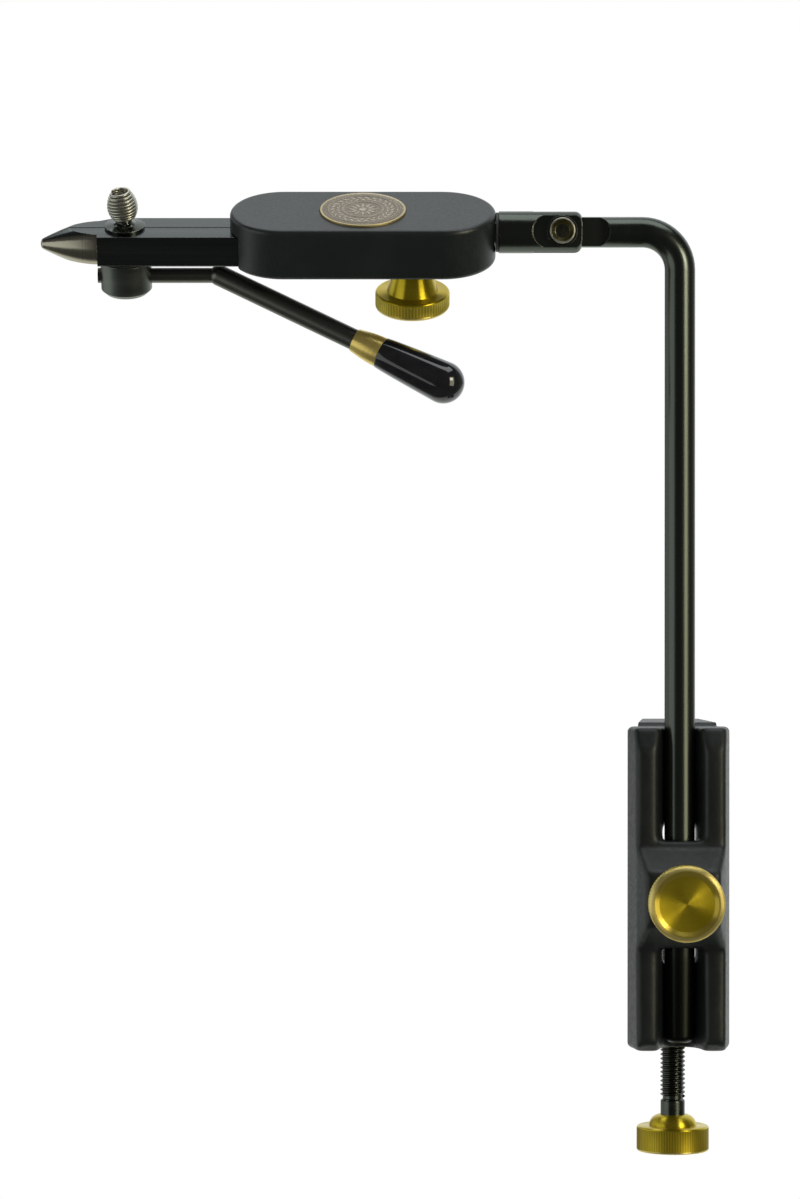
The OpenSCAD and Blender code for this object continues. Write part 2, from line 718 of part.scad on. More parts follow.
module tilt_screw() {
    color("#3c3f38") at_arm() translate([pivot_x, -flat_y - tilt_washer_t, 0]) rotate([90, 0, 0]) difference() {
        union() {
            turned([[0, 0], [tilt_head_d / 2, 0], [tilt_head_d / 2, tilt_head_h - knuckle_chamfer],
                [tilt_head_d / 2 - knuckle_chamfer, tilt_head_h], [0, tilt_head_h]]);
            translate([0, 0, -2 * flat_y - tilt_washer_t]) cylinder(r = tilt_r, h = 2 * flat_y + tilt_washer_t);
        }
        translate([0, 0, tilt_head_h / 4]) cylinder(r = tilt_hex / sqrt(3), h = tilt_head_h, $fn = 6);
    }
}

module tilt_washer() {
    color("#2b2d2c") at_arm() translate([pivot_x, -flat_y, 0]) rotate([90, 0, 0]) difference() {
        cylinder(r = tilt_washer_r, h = tilt_washer_t);
        translate([0, 0, -over]) cylinder(r = tilt_r, h = tilt_washer_t + 2 * over);
    }
}

module spindle_washer() {
    color("#141414") at_arm() from_x(housing_rear_x + face_gap) difference() {
        cylinder(r = knuckle_r - knuckle_chamfer, h = washer_gap - 2 * face_gap);
        translate([0, 0, -over]) cylinder(r = spindle_r + running_fit, h = washer_gap + 2 * over);
    }
}

module spindle_ring() {
    color("silver") at_arm() from_x(spindle_shoulder_x - web_t - ring_t - face_gap * 2) difference() {
        cylinder(r = nose_r + ring_wall, h = ring_t);
        translate([0, 0, -over]) cylinder(r = nose_r - knuckle_chamfer, h = ring_t + 2 * over);
    }
}

// The head housing
module housing_block() {
    for (x = [end_front_x, end_rear_x])
        translate([x, 0, 0]) turned(rounded([
            [0, -housing_down, 0],
            [housing_r, -housing_down, housing_edge_r],
            [housing_r, housing_up, housing_edge_r],
            [0, housing_up, 0]]));
    translate([end_front_x, 0, 0]) rotate([90, 0, 90])
        linear_extrude(end_rear_x - end_front_x) polygon(rounded(mirrored([
            [housing_r, -housing_down, housing_edge_r],
            [housing_r, housing_up, housing_edge_r]])));
}

module cover_outline() {
    polygon(rounded([
        [cover_front_x, -cover_half, cover_corner_r],
        [cover_rear_x, -cover_half, cover_corner_r],
        [cover_rear_x, cover_half, cover_corner_r],
        [cover_front_x, cover_half, cover_corner_r]]));
}

module at_cover_screws() {
    for (x = [cover_front_x + cover_screw_inset, cover_rear_x - cover_screw_inset], y = [-cover_screw_y, cover_screw_y])
        translate([x, y, -housing_down]) children();
}

module at_jaw_pins() for (side = [-1, 1]) translate([jaw_pivot_x, side * jaw_pivot_y, 0]) children();

module head_housing() {
    color("#3b3e42") in_head() difference() {
        housing_block();
        translate([housing_front_x - over, -pocket_half, -housing_down - over])
            cube([pocket_rear_x - housing_front_x + over, 2 * pocket_half, housing_down + pocket_roof + over]);
        tall(-housing_down - over, -housing_down + cover_t) cover_outline();
        from_x(pocket_rear_x - over) cylinder(r = nose_r + running_fit, h = web_t + 2 * over);
        from_x(spindle_shoulder_x - face_gap) cylinder(r = spindle_r + running_fit, h = spindle_l + over);
        from_x(pocket_rear_x - nose_out - over) cylinder(r = ring_room_r, h = nose_out + over);
        translate([tension_x, 0, -housing_down - over]) cylinder(r = tension_r + running_fit, h = housing_down + over);
        translate([medallion_x, 0, housing_up + medallion_proud - medallion_t])
            cylinder(r = medallion_d / 2 + face_gap, h = medallion_t + over);
        at_jaw_pins() translate([0, 0, pocket_roof - over]) cylinder(r = jaw_pin_r, h = pin_rise + over);
        at_cover_screws() cylinder(r = cover_screw_r, h = cover_screw_l);
    }
}

module head_cover() {
    color("#2f3235") in_head() difference() {
        tall(-housing_down, -housing_down + cover_t) cover_outline();
        at_cover_screws() translate([0, 0, -over]) cylinder(r = cover_screw_r, h = cover_t + 2 * over);
        at_cover_screws() turned([[0, -over], [2 * cover_screw_r, -over], [2 * cover_screw_r, 0],
            [cover_screw_r, cover_t * 0.8], [0, cover_t * 0.8]]);
    }
}

module cover_screws() {
    color("#6b6e70") in_head() at_cover_screws() difference() {
        turned([[0, face_gap], [2 * cover_screw_r - 3 * face_gap, face_gap],
            [cover_screw_r - running_fit, cover_t * 0.8 - face_gap],
            [cover_screw_r - running_fit, cover_screw_l - face_gap], [0, cover_screw_l - face_gap]]);
        translate([0, 0, -over]) cylinder(r = cover_screw_r * 0.7, h = over + cover_t * 0.6, $fn = 6);
    }
}

module medallion() {
    color("#8a7d62") in_head() translate([medallion_x, 0, housing_up + medallion_proud - medallion_t])
        turned([[0, 0], [medallion_d / 2, 0], [medallion_d / 2, medallion_t - face_gap * 3],
            [medallion_d / 2 - face_gap * 3, medallion_t], [medallion_d / 2 - knob_lip, medallion_t],
            [medallion_d / 2 - knob_lip, medallion_t - face_gap * 3], [0, medallion_t - face_gap * 3]]);
}

// The tension screw that brakes the spindle
module tension_plug() {
    color("white") in_head() translate([tension_x, 0, plug_top - plug_t]) cylinder(r = tension_r, h = plug_t);
}

module tension_screw() {
    in_knob = knob_disc_t + knob_hub_l - knob_blind_l;
    color("#55585a") in_head() translate([tension_x, 0, tension_hub_z - in_knob])
        cylinder(r = tension_r, h = tension_screw_top - tension_hub_z + in_knob);
}

module tension_knob() {
    color("#b08d2e") in_head() translate([tension_x, 0, tension_hub_z - knob_disc_t - knob_hub_l])
        thumb_knob(tension_r);
}

// The jaws: two bars whose joined front end is turned to a rounded point
function tip_radius(u) = tip_end_r + (tip_base_r - tip_end_r) * (1 - pow(1 - u, tip_power));
function tip_profile() = rounded(concat([[0, 0, 0], [tip_end_r, 0, tip_nose_r]],
    [for (i = [1:3 * arc_steps]) let (u = i / (3 * arc_steps)) [tip_radius(u), tip_l * u, 0]],
    [[0, tip_l, 0]]));

module jaw_bars() {
    full = jaw_w + jaw_slit;
    translate([jaw_root_x, 0, 0]) rotate([90, 0, 90]) linear_extrude(jaw_tail_x - jaw_root_x)
        polygon([[-full, -jaw_down + jaw_edge], [-full + jaw_edge, -jaw_down], [full - jaw_edge, -jaw_down],
            [full, -jaw_down + jaw_edge], [full, jaw_up - jaw_edge], [full - jaw_edge, jaw_up],
            [-full + jaw_edge, jaw_up], [-full, jaw_up - jaw_edge]]);
    intersection() {
        translate([0, 0, -tip_drop]) from_x(jaw_tip_x) turned(tip_profile());
        translate([jaw_tip_x, -full, -jaw_down]) cube([tip_l, 2 * full, jaw_down + jaw_up]);
    }
}

// One jaw: side is 1 for the far one and -1 for the near one
module jaw(side) {
    full = jaw_w + jaw_slit + over;
    front = side * jaw_slit - (side < 0 ? full : 0);
    in_head() difference() {
        intersection() {
            jaw_bars();
            union() {
                translate([jaw_tip_x + tip_land_l, front, -jaw_down]) cube([tip_out, full, jaw_down + jaw_up]);
                translate([jaw_tip_x, side * jaw_tip_gap - (side < 0 ? full : 0), -jaw_down])
                    cube([tip_land_l, full, jaw_down + jaw_up]);
            }
        }
        translate([jaw_pivot_x - jaw_pin_r / 2, -tail_slit, -jaw_down - over])
            cube([tail_l + jaw_pin_r, 2 * tail_slit, jaw_down + jaw_up + 2 * over]);
        translate([jaw_relief_x, -full, -jaw_down - over])
            cube([tail_l + jaw_pivot_in, 2 * full, tail_floor + jaw_down + over]);
        translate([jaw_pivot_x, side * jaw_pivot_y, -jaw_down - over])
            cylinder(r = jaw_pin_r + running_fit, h = jaw_down + jaw_up + 2 * over);
        translate([cam_x - cam_lobe_r - running_fit, -cam_flat - face_gap, -jaw_down - over])
            cube([2 * (cam_lobe_r + running_fit), 2 * (cam_flat + face_gap), jaw_down + jaw_up + 2 * over]);
        translate([jaw_spring_x, 0, jaw_spring_z]) rotate([90, 0, 0])
            cylinder(r = jaw_spring_d / 2 + jaw_spring_play, h = 2 * (jaw_spring_half + face_gap), center = true);
    }
}

module jaw_near() color("#26282a") jaw(-1);
module jaw_far() color("#26282a") jaw(1);

module jaw_pivot_pins() {
    color("silver") in_head() at_jaw_pins() translate([0, 0, -housing_down + cover_t])
        cylinder(r = jaw_pin_r, h = housing_down - cover_t + pocket_roof + pin_rise - face_gap);
}

module jaw_spring() {
    wire_r = jaw_spring_wire / 2;
    mid_r = jaw_spring_d / 2 - wire_r;
    h = 2 * (jaw_spring_half - wire_r);
    echo(jaw_spring_gap = coil_gap(coil_points(jaw_spring_curls, mid_r, mid_r, h), wire_r));
    color("silver") in_head() translate([jaw_spring_x, h / 2, jaw_spring_z]) rotate([90, 0, 0])
        coil(jaw_spring_curls, mid_r, mid_r, h, wire_r);
}

// The cam: a barrel below the jaws, a two-lobed shaft between them and a collar on top
module cam_barrel() {
    color("#2a2d2c") at_cam() difference() {
        turned([[0, barrel_foot], [barrel_r - barrel_chamfer, barrel_foot], [barrel_r, barrel_foot + barrel_chamfer],
            [barrel_r, barrel_top - barrel_edge], [barrel_r - barrel_edge, barrel_top], [0, barrel_top]]);
        translate([0, 0, barrel_top - journal_l]) cylinder(r = cam_lobe_r, h = journal_l + over);
        from_x(-barrel_r - over) translate([-rod_z, 0, 0]) cylinder(r = rod_r, h = barrel_d + 2 * over);
        translate([0, 0, barrel_foot - over]) cylinder(r = set_screw_r, h = rod_z - barrel_foot + over);
    }
}

module cam_shaft() {
    color("#8d9092") at_cam() union() {
        translate([0, 0, barrel_top - journal_l]) cylinder(r = cam_lobe_r, h = journal_l);
        intersection() {
            translate([0, 0, barrel_top]) cylinder(r = cam_lobe_r, h = collar_z - barrel_top);
            translate([-cam_lobe_r, -cam_flat, barrel_top])
                cube([2 * cam_lobe_r, 2 * cam_flat, collar_z - barrel_top]);
        }
        translate([0, 0, collar_z]) cylinder(r = stud_r, h = collar_h + stud_rise);
    }
}

module cam_washer() {
    color("#141414") at_cam() translate([0, 0, barrel_top + face_gap]) difference() {
        cylinder(r = barrel_r - barrel_chamfer, h = cam_washer_t);
        translate([0, 0, -over]) cylinder(r = cam_lobe_r + running_fit, h = cam_washer_t + 2 * over);
    }
}

module cam_collar() {
    flange_r = collar_d / 2;
    color("#1b1d1e") at_cam() translate([0, 0, collar_z]) turned([
        [stud_r, 0], [flange_r, 0], [flange_r, collar_flange_t],
        [between(collar_neck_r, flange_r, 0.3), between(collar_flange_t, collar_h, 0.3)],
        [collar_neck_r, between(collar_flange_t, collar_h, 0.75)], [collar_neck_r, collar_h], [stud_r, collar_h]]);
}

module material_spring() {
    wire_r = mat_wire_d / 2;
    end_r = mat_end_d / 2 - wire_r;
    waist_r = mat_waist_d / 2 - wire_r;
    h = mat_spring_h - mat_wire_d;
    echo(material_spring_gap = coil_gap(coil_points(mat_curls, end_r, waist_r, h), wire_r));
    color("#a9a796") at_cam() translate([0, 0, collar_z + collar_h + wire_r + face_gap])
        rotate([0, -mat_lean, 0]) coil(mat_curls, end_r, waist_r, h, wire_r);
}

// The lever
module lever_set_screw() {
    color("#55585a") at_cam() translate([0, 0, barrel_foot + knob_lip]) difference() {
        cylinder(r = set_screw_r, h = rod_z - rod_r - barrel_foot - knob_lip);
        translate([0, 0, -over]) cylinder(r = set_screw_r / 2, h = knob_lip + over, $fn = 6);
    }
}

module lever_rod() {
    color("#1d1f1e") union() {
        at_cam() translate([0, 0, rod_z]) from_x(-barrel_r - rod_end_out)
            cylinder(r = rod_r, h = bend_out + barrel_r + rod_end_out);
        at_lever() sphere(r = arm_r);
        at_lever() from_x(0) cylinder(r = arm_r, h = grip_start + arm_in_grip);
    }
}

module lever_ferrule() {
    color("#b08d2e") at_lever() from_x(bare_l) turned(concat(
        [[arm_r, 0]],
        [for (i = [0:arc_steps]) let (u = i / arc_steps)
            [between(arm_r + knuckle_chamfer, ferrule_d / 2, sin(90 * u)), ferrule_l * u]],
        [[arm_r, ferrule_l]]));
}

module lever_grip() {
    end_r = grip_d / 2;
    color("#101112") at_lever() from_x(grip_start) turned(concat(
        [[arm_r, 0], [grip_root_d / 2, 0]],
        [for (i = [0:2 * arc_steps]) let (a = 90 * i / (2 * arc_steps))
            [end_r * cos(a), grip_l - end_r + end_r * sin(a)]],
        [[0, arm_in_grip], [arm_r, arm_in_grip]]));
}

clamp_body();
clamp_pad();
pad_clip();
clamp_screw();
clamp_knob();
stem_lock_tip();
stem_lock_screw();
stem_lock_knob();
stem_rod();
knuckle_barrel();
tilt_screw();
tilt_washer();
spindle_washer();
spindle_ring();
head_housing();
head_cover();
cover_screws();
medallion();
jaw_pivot_pins();
jaw_spring();
tension_plug();
tension_screw();
tension_knob();
jaw_near();
jaw_far();
cam_barrel();
cam_shaft();
cam_washer();
cam_collar();
material_spring();
lever_set_screw();
lever_rod();
lever_ferrule();
lever_grip();
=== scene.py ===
import math

import bmesh
import bpy
from mathutils import Matrix, Vector


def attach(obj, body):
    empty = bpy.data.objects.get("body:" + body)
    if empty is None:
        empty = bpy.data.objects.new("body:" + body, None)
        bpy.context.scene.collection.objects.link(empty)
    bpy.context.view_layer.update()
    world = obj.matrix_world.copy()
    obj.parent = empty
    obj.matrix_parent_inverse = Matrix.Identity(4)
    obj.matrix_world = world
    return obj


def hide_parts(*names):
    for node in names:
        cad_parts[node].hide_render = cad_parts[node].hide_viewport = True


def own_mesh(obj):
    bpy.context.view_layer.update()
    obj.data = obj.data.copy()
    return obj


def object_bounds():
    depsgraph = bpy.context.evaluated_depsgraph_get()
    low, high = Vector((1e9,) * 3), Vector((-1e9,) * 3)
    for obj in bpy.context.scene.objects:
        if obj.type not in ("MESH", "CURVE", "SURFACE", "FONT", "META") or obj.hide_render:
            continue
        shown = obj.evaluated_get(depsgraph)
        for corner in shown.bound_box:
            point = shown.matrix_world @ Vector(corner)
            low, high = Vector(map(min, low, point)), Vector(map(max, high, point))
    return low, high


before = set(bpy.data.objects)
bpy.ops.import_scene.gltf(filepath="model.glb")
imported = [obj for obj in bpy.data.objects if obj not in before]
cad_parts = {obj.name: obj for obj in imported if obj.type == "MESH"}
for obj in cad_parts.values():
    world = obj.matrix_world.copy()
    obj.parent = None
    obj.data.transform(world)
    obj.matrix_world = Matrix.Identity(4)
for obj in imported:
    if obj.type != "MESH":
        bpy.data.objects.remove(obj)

mm = 0.001
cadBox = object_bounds()


def turn(degrees, axis):
    return Matrix.Rotation(math.radians(degrees), 4, axis)


# the head lies across the stem's top, rolled about its own long axis
stemAxisY = -0.0314
headHeight = 0.165
headRoll = 27.5
headPlace = Matrix.Translation((0, stemAxisY, headHeight)) @ turn(headRoll, "X")

# the lever's arm runs from its elbow, swung to the front and drooping
leverLook = {"elbow": (-0.1436, 0, -0.01455), "swing": -22.5, "droop": 17.2}
leverPlace = headPlace @ Matrix.Translation(leverLook["elbow"])
leverPlace = leverPlace @ turn(leverLook["swing"], "Z") @ turn(leverLook["droop"], "Y")
print("stage: frame loaded, nodes:", len(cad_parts))

mergeGap = 1e-6


# small helpers; this one leaves edit mode too
def deselectAll():
    if bpy.context.mode != "OBJECT":
        bpy.ops.object.mode_set(mode="OBJECT")
    bpy.ops.object.select_all(action="DESELECT")


def pick(piece):
    deselectAll()
    piece.select_set(True)
    bpy.context.view_layer.objects.active = piece


def editPiece(piece):
    pick(piece)
    bpy.ops.object.mode_set(mode="EDIT")
    bpy.ops.mesh.select_mode(type="VERT")


def chooseVerts(piece, test):
    mesh = bmesh.from_edit_mesh(piece.data)
    bpy.ops.mesh.select_all(action="DESELECT")
    for v in mesh.verts:
        v.select = test(v.co)
    mesh.select_flush(True)
    bmesh.update_edit_mesh(piece.data)


def mergeDoubles():
    bpy.ops.mesh.select_all(action="SELECT")
    bpy.ops.mesh.remove_doubles(threshold=mergeGap)


def faceOutwards():
    bpy.ops.mesh.select_all(action="SELECT")
    bpy.ops.mesh.normals_make_consistent(inside=False)


def copyNode(node, name):
    pick(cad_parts[node])
    bpy.ops.object.duplicate()
    piece = bpy.context.object
    piece.name = name
    return piece


# a chain of edges in the XZ plane, its first point and its steps in mm
def drawChain(piece, first, steps):
    editPiece(piece)
    bpy.ops.mesh.select_all(action="SELECT")
    bpy.ops.mesh.merge(type="CENTER")
    bpy.ops.transform.translate(value=(first[0] * mm, 0, first[1] * mm))
    for across, up in steps:
        bpy.ops.mesh.extrude_region_move(TRANSFORM_OT_translate={"value": (across * mm, 0, up * mm)})


# a profile of (radius, height) in mm, spun round Z
def turnedPiece(name, profile, steps):
    deselectAll()
    bpy.ops.mesh.primitive_plane_add(size=mm, location=(0, 0, 0))
    piece = bpy.context.object
    piece.name = name
    drawChain(piece, profile[0], [(r1 - r0, z1 - z0) for (r0, z0), (r1, z1) in zip(profile, profile[1:])])
    bpy.ops.mesh.select_all(action="SELECT")
    bpy.ops.mesh.spin(steps=steps, angle=2 * math.pi, center=(0, 0, 0), axis=(0, 0, 1))
    mergeDoubles()
    bpy.ops.mesh.normals_make_consistent(inside=False)
    return piece


def arcPoints(centreR, centreZ, radius, fromAngle, toAngle, count):
    angles = [math.radians(fromAngle + (toAngle - fromAngle) * i / count) for i in range(count + 1)]
    return [(centreR + radius * math.cos(a), centreZ + radius * math.sin(a)) for a in angles]


def joinPieces(name, pieces):
    pick(pieces[0])
    for other in pieces[1:]:
        other.select_set(True)
    bpy.ops.object.join()
    pieces[0].name = name
    return pieces[0]


# the piece's place goes into its mesh
def finishMesh(piece, place, smoothAngle=30):
    pick(piece)
    piece.matrix_world = place @ piece.matrix_world
    bpy.ops.object.transform_apply(location=True, rotation=True, scale=True)
    bpy.ops.object.shade_smooth_by_angle(angle=math.radians(smoothAngle))
    return piece


# each face takes the finish whose number slotOf gives for its middle and normal, in mm
def shareFaces(piece, count, slotOf):
    piece.data.materials.clear()
    for i in range(count):
        piece.data.materials.append(None)
    mesh = bmesh.from_edit_mesh(piece.data)
    for face in mesh.faces:
        face.material_index = slotOf(face.calc_center_median() / mm, face.normal)
    bmesh.update_edit_mesh(piece.data)


def dress(piece, materials, body, node):
    if len(piece.data.materials) != len(materials):
        piece.data.materials.clear()
        for material in materials:
            piece.data.materials.append(material)
    for i, material in enumerate(materials):
        piece.data.materials[i] = material
    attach(piece, body)
    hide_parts(node)


# shader helpers
def newGroup(name, inputs, outputs):
    group = bpy.data.node_groups.new(name, "ShaderNodeTree")
    for label, kind, value in inputs:
        socket = group.interface.new_socket(name=label, in_out="INPUT", socket_type=kind)
        socket.default_value = value
    for label, kind in outputs:
        group.interface.new_socket(name=label, in_out="OUTPUT", socket_type=kind)
    start = group.nodes.new("NodeGroupInput")
    end = group.nodes.new("NodeGroupOutput")
    return group, start, end


def addNode(tree, kind, settings=None, **values):
    node = tree.nodes.new(kind)
    for key, value in (settings or {}).items():
        setattr(node, key, value)
    for key, value in values.items():
        node.inputs[key.replace("_", " ")].default_value = value
    return node


def mathNode(tree, operation, *values, clamp=False):
    node = addNode(tree, "ShaderNodeMath", {"operation": operation, "use_clamp": clamp})
    for i, value in enumerate(values):
        if isinstance(value, (int, float)):
            node.inputs[i].default_value = value
        else:
            tree.links.new(value, node.inputs[i])
    return node.outputs[0]


def vectorMath(tree, operation, first, second, output=0):
    node = addNode(tree, "ShaderNodeVectorMath", {"operation": operation})
    for i, value in enumerate((first, second)):
        if isinstance(value, (tuple, Vector)):
            node.inputs[i].default_value = value
        else:
            tree.links.new(value, node.inputs[i])
    return node.outputs[output]


def mixColour(tree, factor, first, second):
    node = addNode(tree, "ShaderNodeMix", {"data_type": "RGBA"})
    for i, value in ((0, factor), (6, first), (7, second)):
        if isinstance(value, tuple):
            node.inputs[i].default_value = (*value, 1)
        else:
            tree.links.new(value, node.inputs[i])
    return node.outputs[2]


def remap(tree, value, low, high, outLow=0.0, outHigh=1.0):
    node = addNode(tree, "ShaderNodeMapRange")
    tree.links.new(value, node.inputs[0])
    for i, number in enumerate((low, high, outLow, outHigh)):
        node.inputs[i + 1].default_value = number
    return node.outputs[0]


def splitXYZ(tree, vector):
    split = addNode(tree, "ShaderNodeSeparateXYZ")
    tree.links.new(vector, split.inputs[0])
    return split.outputs


# distance from the Z axis
def ringDistance(tree, local):
    squares = [mathNode(tree, "POWER", local[i], 2.0) for i in range(2)]
    return mathNode(tree, "SQRT", mathNode(tree, "ADD", *squares))


# rounded edges and a mask of the worn ones
def makeSoftEdge():
    group, start, end = newGroup("softEdge", [("Radius", "NodeSocketFloat", 0.4 * mm)],
                                 [("Normal", "NodeSocketVector"), ("Edge", "NodeSocketFloat")])
    bevel = addNode(group, "ShaderNodeBevel", {"samples": 4})
    geometry = addNode(group, "ShaderNodeNewGeometry")
    group.links.new(start.outputs["Radius"], bevel.inputs["Radius"])
    bend = vectorMath(group, "DOT_PRODUCT", bevel.outputs[0], geometry.outputs["Normal"], "Value")
    hardlyBent, fullyBent = 0.995, 0.9
    group.links.new(bevel.outputs[0], end.inputs["Normal"])
    group.links.new(remap(group, bend, hardlyBent, fullyBent), end.inputs["Edge"])
    return group


# speckle at two scales for coats and castings
def makeCoatGrain():
    group, start, end = newGroup("coatGrain", [("Scale", "NodeSocketFloat", 900.0)],
                                 [("Fine", "NodeSocketFloat"), ("Broad", "NodeSocketFloat")])
    coords = addNode(group, "ShaderNodeTexCoord")
    fine = addNode(group, "ShaderNodeTexNoise", Detail=3.0, Roughness=0.6)
    broad = addNode(group, "ShaderNodeTexNoise", Scale=60.0, Detail=4.0, Roughness=0.55)
    group.links.new(coords.outputs["Object"], fine.inputs["Vector"])
    group.links.new(coords.outputs["Object"], broad.inputs["Vector"])
    group.links.new(start.outputs["Scale"], fine.inputs["Scale"])
    group.links.new(fine.outputs[0], end.inputs["Fine"])
    group.links.new(broad.outputs[0], end.inputs["Broad"])
    return group


# fine lines drawn along one axis of a turned or rolled piece
def makeDrawnLines():
    inputs = [("Vector", "NodeSocketVector", (0, 0, 0)), ("Stretch", "NodeSocketVector", (1, 1, 1))]
    group, start, end = newGroup("drawnLines", inputs, [("Lines", "NodeSocketFloat")])
    noise = addNode(group, "ShaderNodeTexNoise", Scale=1.0, Detail=3.0, Roughness=0.65)
    stretched = vectorMath(group, "MULTIPLY", start.outputs["Vector"], start.outputs["Stretch"])
    group.links.new(stretched, noise.inputs["Vector"])
    group.links.new(noise.outputs[0], end.inputs["Lines"])
    return group


# lathe marks run round the point's axis, so their tangent is the axis crossed with the surface normal
def makeTurnedTangent():
    group, start, end = newGroup("turnedTangent", [], [("Tangent", "NodeSocketVector")])
    coords = addNode(group, "ShaderNodeTexCoord")
    toWorld = addNode(group, "ShaderNodeVectorTransform", {"vector_type": "VECTOR", "convert_from": "OBJECT",
                                                           "convert_to": "WORLD"})
    crossed = vectorMath(group, "CROSS_PRODUCT", (1, 0, 0), coords.outputs["Normal"])
    group.links.new(crossed, toWorld.inputs[0])
    group.links.new(toWorld.outputs[0], end.inputs["Tangent"])
    return group


softEdge = makeSoftEdge()
coatGrain = makeCoatGrain()
drawnLines = makeDrawnLines()
turnedTangent = makeTurnedTangent()


def newMaterial(name, **sockets):
    material = bpy.data.materials.new(name)
    material.use_nodes = True
    shader = material.node_tree.nodes["Principled BSDF"]
    for key, value in sockets.items():
        shader.inputs[key.replace("_", " ")].default_value = value
    return material, material.node_tree, shader


def placeGroup(tree, group, **values):
    node = addNode(tree, "ShaderNodeGroup", {"node_tree": group})
    for key, value in values.items():
        node.inputs[key].default_value = value
    return node


def bumpFrom(tree, shader, height, strength, distance, normal=None):
    bump = addNode(tree, "ShaderNodeBump", Strength=strength, Distance=distance * mm)
    tree.links.new(height, bump.inputs["Height"])
    if normal is not None:
        tree.links.new(normal, bump.inputs["Normal"])
    tree.links.new(bump.outputs[0], shader.inputs["Normal"])


# Object coordinates, seen from a place on the vise
def turnedCoords(tree, place):
    coords = addNode(tree, "ShaderNodeTexCoord")
    location, rotation, _ = place.decompose()
    mapping = addNode(tree, "ShaderNodeMapping", {"vector_type": "TEXTURE"}, Location=location,
                      Rotation=rotation.to_euler())
    tree.links.new(coords.outputs["Object"], mapping.inputs["Vector"])
    return mapping.outputs[0]


# the stretch of a noise's output that a finish reads, most of it or its middle alone
mostNoise = (0.3, 0.7)
midNoise = (0.35, 0.65)
acrossMarks = 0.25  # turns the shine across the lathe marks


def toneFrom(tree, look, noise, span=mostNoise):
    return mixColour(tree, remap(tree, noise, *span), look["dark"], look["light"])


def roughFrom(tree, shader, noise, low, high):
    tree.links.new(remap(tree, noise, *mostNoise, low, high), shader.inputs["Roughness"])


# finishes
def powderCoat(name, look):
    material, tree, shader = newMaterial(name, Specular_IOR_Level=look["specular"], IOR=1.5)
    edge = placeGroup(tree, softEdge, Radius=look["edge"])
    grain = placeGroup(tree, coatGrain, Scale=look["grain"])
    shade = toneFrom(tree, look, grain.outputs["Broad"], midNoise)
    patches = remap(tree, grain.outputs["Broad"], 0.45, 0.7)
    wear = mathNode(tree, "MULTIPLY", edge.outputs["Edge"], patches, clamp=True)
    wear = mathNode(tree, "MULTIPLY", wear, look["wear"], clamp=True)
    tree.links.new(mixColour(tree, wear, shade, look["worn"]), shader.inputs["Base Color"])
    roughFrom(tree, shader, grain.outputs["Fine"], look["rough"] - 0.06, look["rough"] + 0.08)
    bumpFrom(tree, shader, grain.outputs["Fine"], look["bump"], 0.06, edge.outputs["Normal"])
    return material


def darkSteel(name, look, place=Matrix(), stretch=(60, 60, 3)):
    material, tree, shader = newMaterial(name, Metallic=1.0)
    edge = placeGroup(tree, softEdge, Radius=look["edge"])
    grain = placeGroup(tree, coatGrain, Scale=1400.0)
    lines = placeGroup(tree, drawnLines, Stretch=stretch)
    tree.links.new(turnedCoords(tree, place), lines.inputs["Vector"])
    shade = toneFrom(tree, look, lines.outputs[0])
    wear = mathNode(tree, "MULTIPLY", edge.outputs["Edge"], look["wear"], clamp=True)
    tree.links.new(mixColour(tree, wear, shade, look["worn"]), shader.inputs["Base Color"])
    roughFrom(tree, shader, lines.outputs[0], look["rough"] - 0.05, look["rough"] + 0.06)
    bumpFrom(tree, shader, grain.outputs["Fine"], look["bump"], 0.03, edge.outputs["Normal"])
    return material


# the rod's foot, down in the clamp's channel, is darkened as painted shade and made rougher
def oiledRod(name, look):
    material = darkSteel(name, look)
    tree = material.node_tree
    shader = tree.nodes["Principled BSDF"]
    coords = addNode(tree, "ShaderNodeTexCoord")
    # painted shade on the rod's foot, below the top of the clamp's channel
    foot = remap(tree, splitXYZ(tree, coords.outputs["Object"])[2], *look["oilFrom"])
    colour, rough = shader.inputs["Base Color"], shader.inputs["Roughness"]
    tree.links.new(mixColour(tree, foot, colour.links[0].from_socket, look["oiled"]), colour)
    dulled = mathNode(tree, "MULTIPLY_ADD", foot, look["oilRough"], rough.links[0].from_socket)
    tree.links.new(dulled, rough)
    return material
